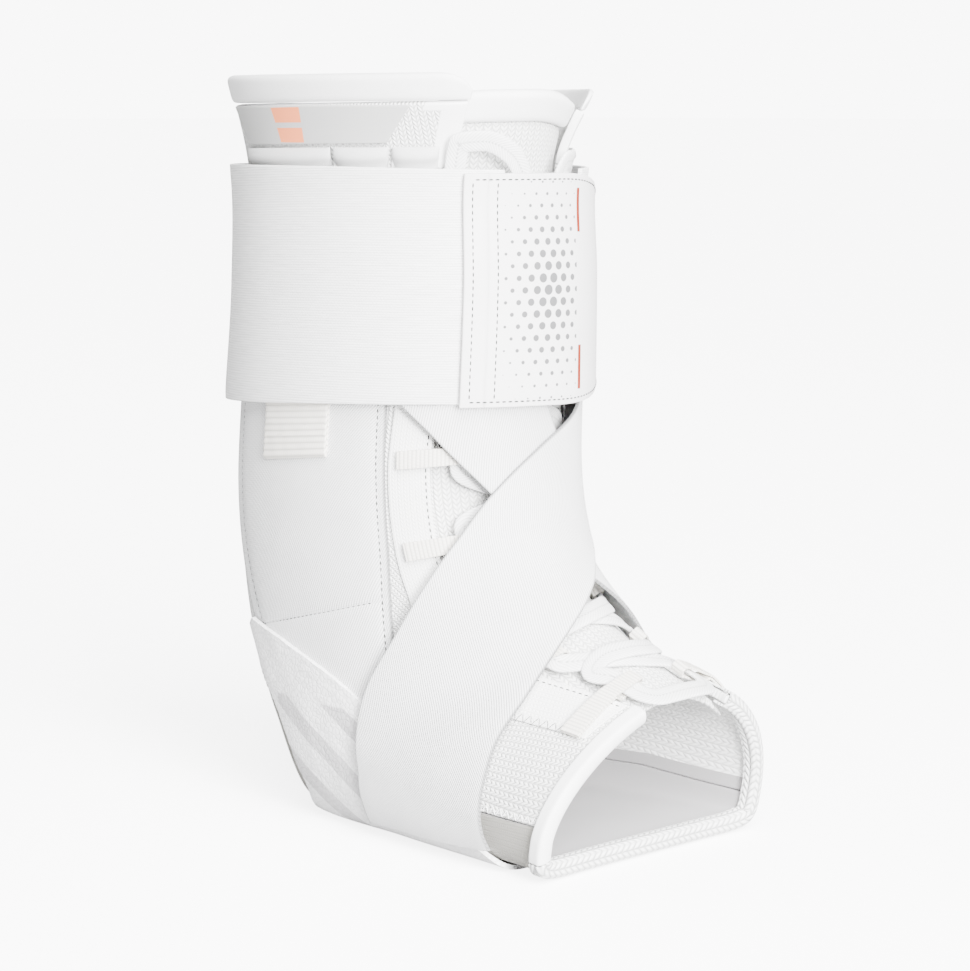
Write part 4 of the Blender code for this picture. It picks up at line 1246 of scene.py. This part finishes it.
def facing_surface(side):
    def surface(t, c, extra):
        edge = lookup(THROAT_ROWS, t)
        return place(t, side * (edge + 0.003 + lookup(FACING_ROWS, t) * c), extra + 0.3 * MM)
    return surface


class MakePullLoops(BraceOperator):
    """Folded ribbed webbing that hangs from under the closing strap."""
    bl_idname = "brace.pull_loops"
    bl_label = "Pull loops"

    def execute(self, context):
        size = sizes()
        top, fold = PULL_LOOP_STATIONS
        inner = 0.5 * MM + size.stay_panel + 0.4 * MM + size.webbing / 2
        outer = inner + size.webbing + 0.4 * MM
        turn = np.linspace(0, np.pi, 7)
        profile = [(top, inner), (fold - 0.004, inner)]
        profile += [(fold - 0.004 + 0.004 * np.sin(a), inner + (outer - inner) * (1 - np.cos(a)) / 2)
                    for a in turn[1:-1]]
        profile += [(fold - 0.004, outer), (top, outer)]
        columns = list(zip(*profile))
        steps = np.concatenate([np.linspace(0, 1, 40), np.linspace(1, 7, 14)[1:-1], np.linspace(7, 8, 40)])
        steps = steps / (len(profile) - 1)
        material = webbing_material("ribbed_pull_webbing", colours().webbing, 2.2 * MM)
        for name, side in SIDES:
            def surface(t, c, extra, side=side):
                station, lift = (np.interp(t, even(len(profile)), column) for column in columns)
                girth = PULL_LOOP_GIRTHS[0] * (1 - c) + PULL_LOOP_GIRTHS[1] * c
                return place(station, side * girth, lift + extra)

            def ribs(t, c, u, v, inset):
                return 0.22 * MM * np.sin(2 * np.pi * u / (2.2 * MM)) + 0.15 * MM * ripple(u, v, 5 * MM, 61)
            piece = lay(f"pull_webbing_{name}", surface, np.unique(steps), even(34), ribs)
            thicken(piece, size.webbing, offset=0.0, rounding=0.2 * MM)
            finish(piece, material, [f"pull_loop_{name}"])
            cloth(piece)
        return {"FINISHED"}


class MakeFacings(BraceOperator):
    """Strips along the throat which carry the lace loops."""
    bl_idname = "brace.facings"
    bl_label = "Eyelet facings"

    def execute(self, context):
        material = knit_material("facing_knit", colours().knit, 2.0 * MM, 1.4 * MM, 0.14, 0.4)
        for name, side in SIDES:
            piece = lay(f"facing_strip_{name}", facing_surface(side),
                        np.linspace(PADS_BOTTOM + 0.01, 0.955, 150), even(14))
            thicken(piece, sizes().facing, rounding=0.15 * MM)
            finish(piece, material, [f"eyelet_facing_{name}"])
            cloth(piece)
        return {"FINISHED"}


class MakeHeelWrap(BraceOperator):
    """Smooth sling under the heel with a wing up each side."""
    bl_idname = "brace.heel_wrap"
    bl_label = "Heel wrap"

    def execute(self, context):
        def wrinkles(t, c, u, v, inset):
            on_sole = np.clip((np.minimum(t, 1 - t) - 0.26) / 0.06, 0, 1)
            soft = ripple(u, v, 14 * MM, 21) + 0.6 * ripple(u, v, 7 * MM, 22)
            return 0.22 * MM * soft * (1 - on_sole)
        piece = lay("heel_sling", between(round_the_back(WRAP_RUNGS)), even(230), even(70), wrinkles)
        thicken(piece, sizes().wrap, rounding=0.35 * MM, segments=3)
        finish(piece, wrap_material(), ["heel_wrap"])
        cloth(piece)
        return {"FINISHED"}


class MakeCrossStraps(BraceOperator):
    """The two diagonal straps from the sole over the front."""
    bl_idname = "brace.cross_straps"
    bl_label = "Cross straps"

    def execute(self, context):
        material = twill_material("strap_twill", colours().twill, 0.9 * MM)
        for name, rungs, seed, tucks in (("near", NEAR_STRAP_RUNGS, 31, 0.0),
                                         ("far", FAR_STRAP_RUNGS, 32, 0.7 * MM)):
            def relief(t, c, u, v, inset, seed=seed, tucks=tucks):
                middle = np.sin(np.pi * t)
                edge = np.exp(-((0.5 - np.abs(c - 0.5)) / 0.035)**2)
                tuck = tucks * np.clip((c - 0.55) / 0.45, 0, 1) * np.exp(-((t - 0.43) / 0.14)**2)
                return 0.18 * MM * ripple(u, v, 34 * MM, seed) * middle - 0.12 * MM * edge - tuck
            piece = lay(f"strap_twill_{name}", between(rungs), even(210), even(56), relief)
            thicken(piece, sizes().cross_strap, rounding=0.3 * MM, segments=3)
            finish(piece, material, [f"cross_strap_{name}"])
            cloth(piece)
        return {"FINISHED"}


class MakeTopStrap(BraceOperator):
    """Wide elastic closing strap."""
    bl_idname = "brace.top_strap"
    bl_label = "Top strap"

    def execute(self, context):
        def relief(t, c, u, v, inset):
            edge = np.exp(-((0.5 - np.abs(c - 0.5)) / 0.03)**2)
            return 0.15 * MM * ripple(u, v, 60 * MM, 41) - 0.2 * MM * edge
        piece = lay("closing_elastic", between(TOP_STRAP_RUNGS), even(240), even(70), relief)
        thicken(piece, sizes().top_strap, rounding=0.35 * MM, segments=3)
        finish(piece, elastic_material(), ["top_strap"])
        cloth(piece)
        return {"FINISHED"}


class MakeClosureTab(BraceOperator):
    """Printed tab on the end of the closing strap."""
    bl_idname = "brace.closure_tab"
    bl_label = "Closure tab"

    def execute(self, context):
        def relief(t, c, u, v, inset):
            weld = np.exp(-((u - 7.8 * MM) / (0.8 * MM))**2)
            rim = np.exp(-((0.5 - np.abs(c - 0.5)) / 0.03)**2)
            return -0.45 * MM * weld - 0.2 * MM * rim + 0.08 * MM * ripple(u, v, 40 * MM, 51)
        piece = lay("closure_laminate", between(TAB_RUNGS), even(130), even(100), relief)
        thicken(piece, sizes().tab, rounding=0.4 * MM, segments=3)
        finish(piece, tab_material(), ["closure_tab"])
        cloth(piece)
        return {"FINISHED"}


class MakeToeBindings(BraceOperator):
    """Binding folded over the edge of the toe opening."""
    bl_idname = "brace.toe_bindings"
    bl_label = "Toe bindings"

    def execute(self, context):
        size = sizes()
        out, under = 0.4 * MM + 0.4 * MM, -size.knit - 0.5 * MM - 0.4 * MM - 0.4 * MM
        turn = np.linspace(0, np.pi, 9)
        middle, half = (out + under) / 2, (out - under) / 2
        profile = [(4.0 * MM, out)] + [(-0.9 * MM * np.sin(a), middle + half * np.cos(a)) for a in turn]
        profile += [(4.0 * MM, under)]
        columns = list(zip(*profile))
        edge = lookup(THROAT_ROWS, TOE_EDGE)
        split = 0.6146
        smooth_cloth = smooth_material("binding_lining", colours().lining)
        knit_cloth = knit_material("binding_knit", colours().knit, 4.2 * MM, 2.8 * MM, 0.55, 1.0)
        rungs = np.concatenate([np.linspace(0, 1, 6), np.linspace(1, 9, 17)[1:], np.linspace(9, 10, 6)[1:]])
        for name, first, last, count, material, slot_name in (
                ("near", edge, split, 130, smooth_cloth, "soft_lining"),
                ("sole", split + 0.004, 2 - edge, 330, knit_cloth, "white_knit")):
            def surface(t, c, extra, first=first, last=last):
                girth = first + (last - first) * t
                back, lift = (np.interp(c, even(len(profile)), column) for column in columns)
                return place(TOE_EDGE - back / stretch(TOE_EDGE + 0 * t, girth)[0], girth, lift + extra)
            piece = lay(f"toe_edge_{name}", surface, even(count), rungs / 10)
            thicken(piece, 0.8 * MM, offset=0.0, rounding=0.2 * MM)
            finish(piece, material, [f"toe_binding_{name}"])
            cloth(piece)
        return {"FINISHED"}


class MakeLaceLoops(BraceOperator):
    """Webbing loops on the facings, one ring each round the lace."""
    bl_idname = "brace.lace_loops"
    bl_label = "Lace loops"

    def execute(self, context):
        size = sizes()
        low = 0.3 * MM + size.facing + 0.5 * MM + size.webbing / 2
        high = low + size.webbing + 0.3 * MM
        eye, reach = -2.0 * MM, 15.5 * MM
        ring = ((0.9 * MM, low), (2.4 * MM, 0.2 * MM), (4.2 * MM, eye), (reach - 0.8 * MM, eye),
                (reach, eye / 2 + 0.6 * MM), (reach - 0.8 * MM, 1.4 * MM), (5.0 * MM, 2.0 * MM),
                (0.9 * MM, high))
        material = webbing_material("loop_webbing", colours().webbing, 1.4 * MM)
        for name, side in SIDES:
            for number, station in enumerate(LOOP_STATIONS, 1):
                at_toe = number == len(LOOP_STATIONS)
                root, slant = (20 * MM, 6 * MM) if at_toe else (11 * MM, 0.0)
                stops = even(3 if at_toe else 2) * (root - 2.5 * MM) - root
                profile = (*((stop, low) for stop in stops), *ring,
                           *((stop, high) for stop in stops[::-1]), (-root, low))
                count = len(profile)

                def surface(t, c, extra, side=side, station=station, profile=profile, root=root,
                            slant=slant):
                    inward, lift = (np.interp(t, even(len(profile)), column) for column in zip(*profile))
                    edge = side * lookup(THROAT_ROWS, station)
                    down, around = stretch(station + 0 * t, edge + 0 * t)
                    outward = (LOOP_EYE_REACH - inward) / (LOOP_EYE_REACH + root)
                    level = station + ((c - 0.5) * 6 * MM + outward * slant) / down
                    return place(level, edge - side * inward / around, lift + extra)
                piece = lay(f"webbing_ring_{name}_{number}", surface, even(8 * (count - 1) + 1), even(9))
                piece = join(piece.name, [piece])
                thicken(piece, size.webbing, offset=0.0, rounding=0.15 * MM)
                finish(piece, material, [f"lace_loop_{name}_{number}"])
        return {"FINISHED"}


def lace_rows():
    """The lace's way: bow end, down through the loops, across the toe end and back up."""
    in_eye, over, under = -0.3 * MM, -0.5 * MM, -2.5 * MM

    def strand(side, lifts, toe_crossing=()):
        rows = []
        last = len(LOOP_STATIONS) - 1
        for number, station in enumerate(LOOP_STATIONS):
            edge = lookup(THROAT_ROWS, station)
            down, around = stretch(station, edge)
            girth = side * (edge - LOOP_EYE_REACH / around)
            half = 5.0 * MM / down
            rows += [(station + half * share, girth, in_eye) for share in (-1, 1)]
            if number == last - 1 and toe_crossing:
                rows += toe_crossing
            elif number < last:
                rows.append(((station + LOOP_STATIONS[number + 1]) / 2, 0.0, lifts[number % 2]))
            side = -side
        return rows
    toe_bar = [(station, girth, -0.8 * MM) for station, girth in ((0.972, 0.085), (0.985, 0.0),
                                                                    (0.972, -0.085))]
    return (list(reversed(NEAR_BOW_ROWS)) + strand(NEAR, (under, over), TOE_CROSSING_ROWS) + toe_bar
            + list(reversed(strand(FAR, (over, under)))) + list(FAR_BOW_ROWS))


class MakeLace(BraceOperator):
    """One flat lace along its whole route."""
    bl_idname = "brace.lace"
    bl_label = "Lace"

    def execute(self, context):
        size = sizes()
        rows = lace_rows()
        half, thick = size.lace_width / 2, size.lace_thickness / 2

        def surface(t, c, extra):
            def middle(x, lift):
                row = smooth(rows, x, level=True)
                return place(row[..., 0], row[..., 1], row[..., 2] + lift)
            centre = middle(t, 0.0)
            ahead = middle(t + 1e-4, 0.0) - middle(t - 1e-4, 0.0)
            up = (middle(t, MM) - centre) / MM
            across = np.cross(up, ahead)
            across /= np.linalg.norm(across, axis=-1, keepdims=True)
            turn = 2 * np.pi * c
            side = np.sign(np.cos(turn)) * np.abs(np.cos(turn))**0.6
            rise = np.sign(np.sin(turn)) * np.abs(np.sin(turn))**0.6
            groove = 1 - 0.2 * np.exp(-(side / 0.15)**2)
            return (centre + across * (side * (half + extra))[..., None]
                    + up * (rise * groove * (thick + extra))[..., None])
        piece = lay("flat_lace", surface, even(24 * (len(rows) - 1) + 1), even(25))
        around = np.empty(len(piece.data.loops) * 2)
        layer = piece.data.uv_layers.active.data
        layer.foreach_get("uv", around)
        around = around.reshape(-1, 2)
        span = np.abs(around[:, 1]).max()
        folded = around[:, 1] / span
        around[:, 1] = (np.abs(folded) - 0.5) * 2 * half
        layer.foreach_set("uv", around.ravel())
        piece = join("flat_lace", [piece])
        edit(piece, lambda: (bpy.ops.mesh.select_all(action="DESELECT"),
                             bpy.ops.mesh.select_non_manifold(),
                             bpy.ops.mesh.edge_face_add()))
        piece.data.shade_smooth()
        finish(piece, lace_material(), ["lace"])
        return {"FINISHED"}


class MakeStage(BraceOperator):
    """Pale floor, soft studio light and the photograph's camera."""
    bl_idname = "brace.stage"
    bl_label = "Studio"

    def execute(self, context):
        bpy.ops.object.select_all(action="DESELECT")
        bpy.ops.mesh.primitive_plane_add(size=60.0, location=(0, 0, CAD_BOX[0][2] - 0.1 * MM))
        floor = context.object
        floor.name = "studio_floor"
        floor.data.materials.append(paper_material())
        world = bpy.data.worlds.new("studio_air")
        world.use_nodes = True
        nodes, links = world.node_tree.nodes, world.node_tree.links
        air = nodes["Background"]
        air.inputs["Strength"].default_value = 0.30
        backdrop = nodes.new("ShaderNodeBackground")
        backdrop.inputs["Strength"].default_value = 9.0
        for part in (air, backdrop):
            part.inputs["Color"].default_value = (1, 1, 1, 1)
        mix = nodes.new("ShaderNodeMixShader")
        links.new(nodes.new("ShaderNodeLightPath").outputs["Is Camera Ray"], mix.inputs["Fac"])
        links.new(air.outputs[0], mix.inputs[1])
        links.new(backdrop.outputs[0], mix.inputs[2])
        links.new(mix.outputs[0], nodes["World Output"].inputs["Surface"])
        context.scene.world = world
        bpy.ops.object.light_add(type="SUN")
        sun = context.object
        sun.name = "studio_ceiling"
        sun.data.energy = 14.0
        sun.data.angle = np.radians(45)
        aim(sun, (-0.5, -1.0, 1.15), (0, 0, 0.12))
        for name, spot, span, power in (("key_light", (-0.55, -1.42, 0.45), 0.5, 115.0),
                                        ("rim_light", (0.9, 0.9, 1.2), 0.8, 5.0)):
            bpy.ops.object.light_add(type="AREA")
            lamp = context.object
            lamp.name = name
            lamp.data.size = span
            lamp.data.energy = power
            aim(lamp, spot, (0, -0.03, 0.12))
        bpy.ops.object.camera_add()
        camera = context.object
        camera.name = "photo_camera"
        camera.data.lens = 108.4
        camera.data.sensor_width = 36.0
        camera.data.dof.use_dof = False
        aim(camera, (-0.7071, -0.7421, 0.25), (0, -0.035, 0.118))
        context.scene.camera = camera
        return {"FINISHED"}


def aim(item, spot, target):
    """Put a lamp or camera at a spot, looking at a target."""
    direction = Vector(target) - Vector(spot)
    item.location = spot
    item.rotation_euler = direction.to_track_quat("-Z", "Y").to_euler()


OPERATORS = (MakeKnitBoot, MakeCollar, MakeTongue, MakeCollarPatches, MakePaddedFingers, MakeStayPanels,
             MakePullLoops, MakeFacings, MakeHeelWrap, MakeCrossStraps, MakeTopStrap, MakeClosureTab,
             MakeToeBindings, MakeLaceLoops, MakeLace, SewSeams, MakeStage)


class BracePanel(bpy.types.Panel):
    """Lists the brace's sizes, colours and makers."""
    bl_idname = "VIEW3D_PT_brace"
    bl_label = "Ankle brace"
    bl_space_type = "VIEW_3D"
    bl_region_type = "UI"
    bl_category = "Brace"

    def draw(self, context):
        for group in (context.scene.brace_sizes, context.scene.brace_colours):
            column = self.layout.column()
            for name in group.__annotations__:
                column.prop(group, name)
        for operator in OPERATORS:
            self.layout.operator(operator.bl_idname)


def register():
    for item in (BraceSizes, BraceColours, *OPERATORS, BracePanel):
        bpy.utils.register_class(item)
    bpy.types.Scene.brace_sizes = bpy.props.PointerProperty(type=BraceSizes)
    bpy.types.Scene.brace_colours = bpy.props.PointerProperty(type=BraceColours)


def unregister():
    del bpy.types.Scene.brace_colours
    del bpy.types.Scene.brace_sizes
    for item in (BracePanel, *reversed(OPERATORS), BraceColours, BraceSizes):
        bpy.utils.unregister_class(item)


def main():
    register()
    for operator in OPERATORS:
        group, name = operator.bl_idname.split(".")
        getattr(getattr(bpy.ops, group), name)()


if __name__ == "__main__":
    main()
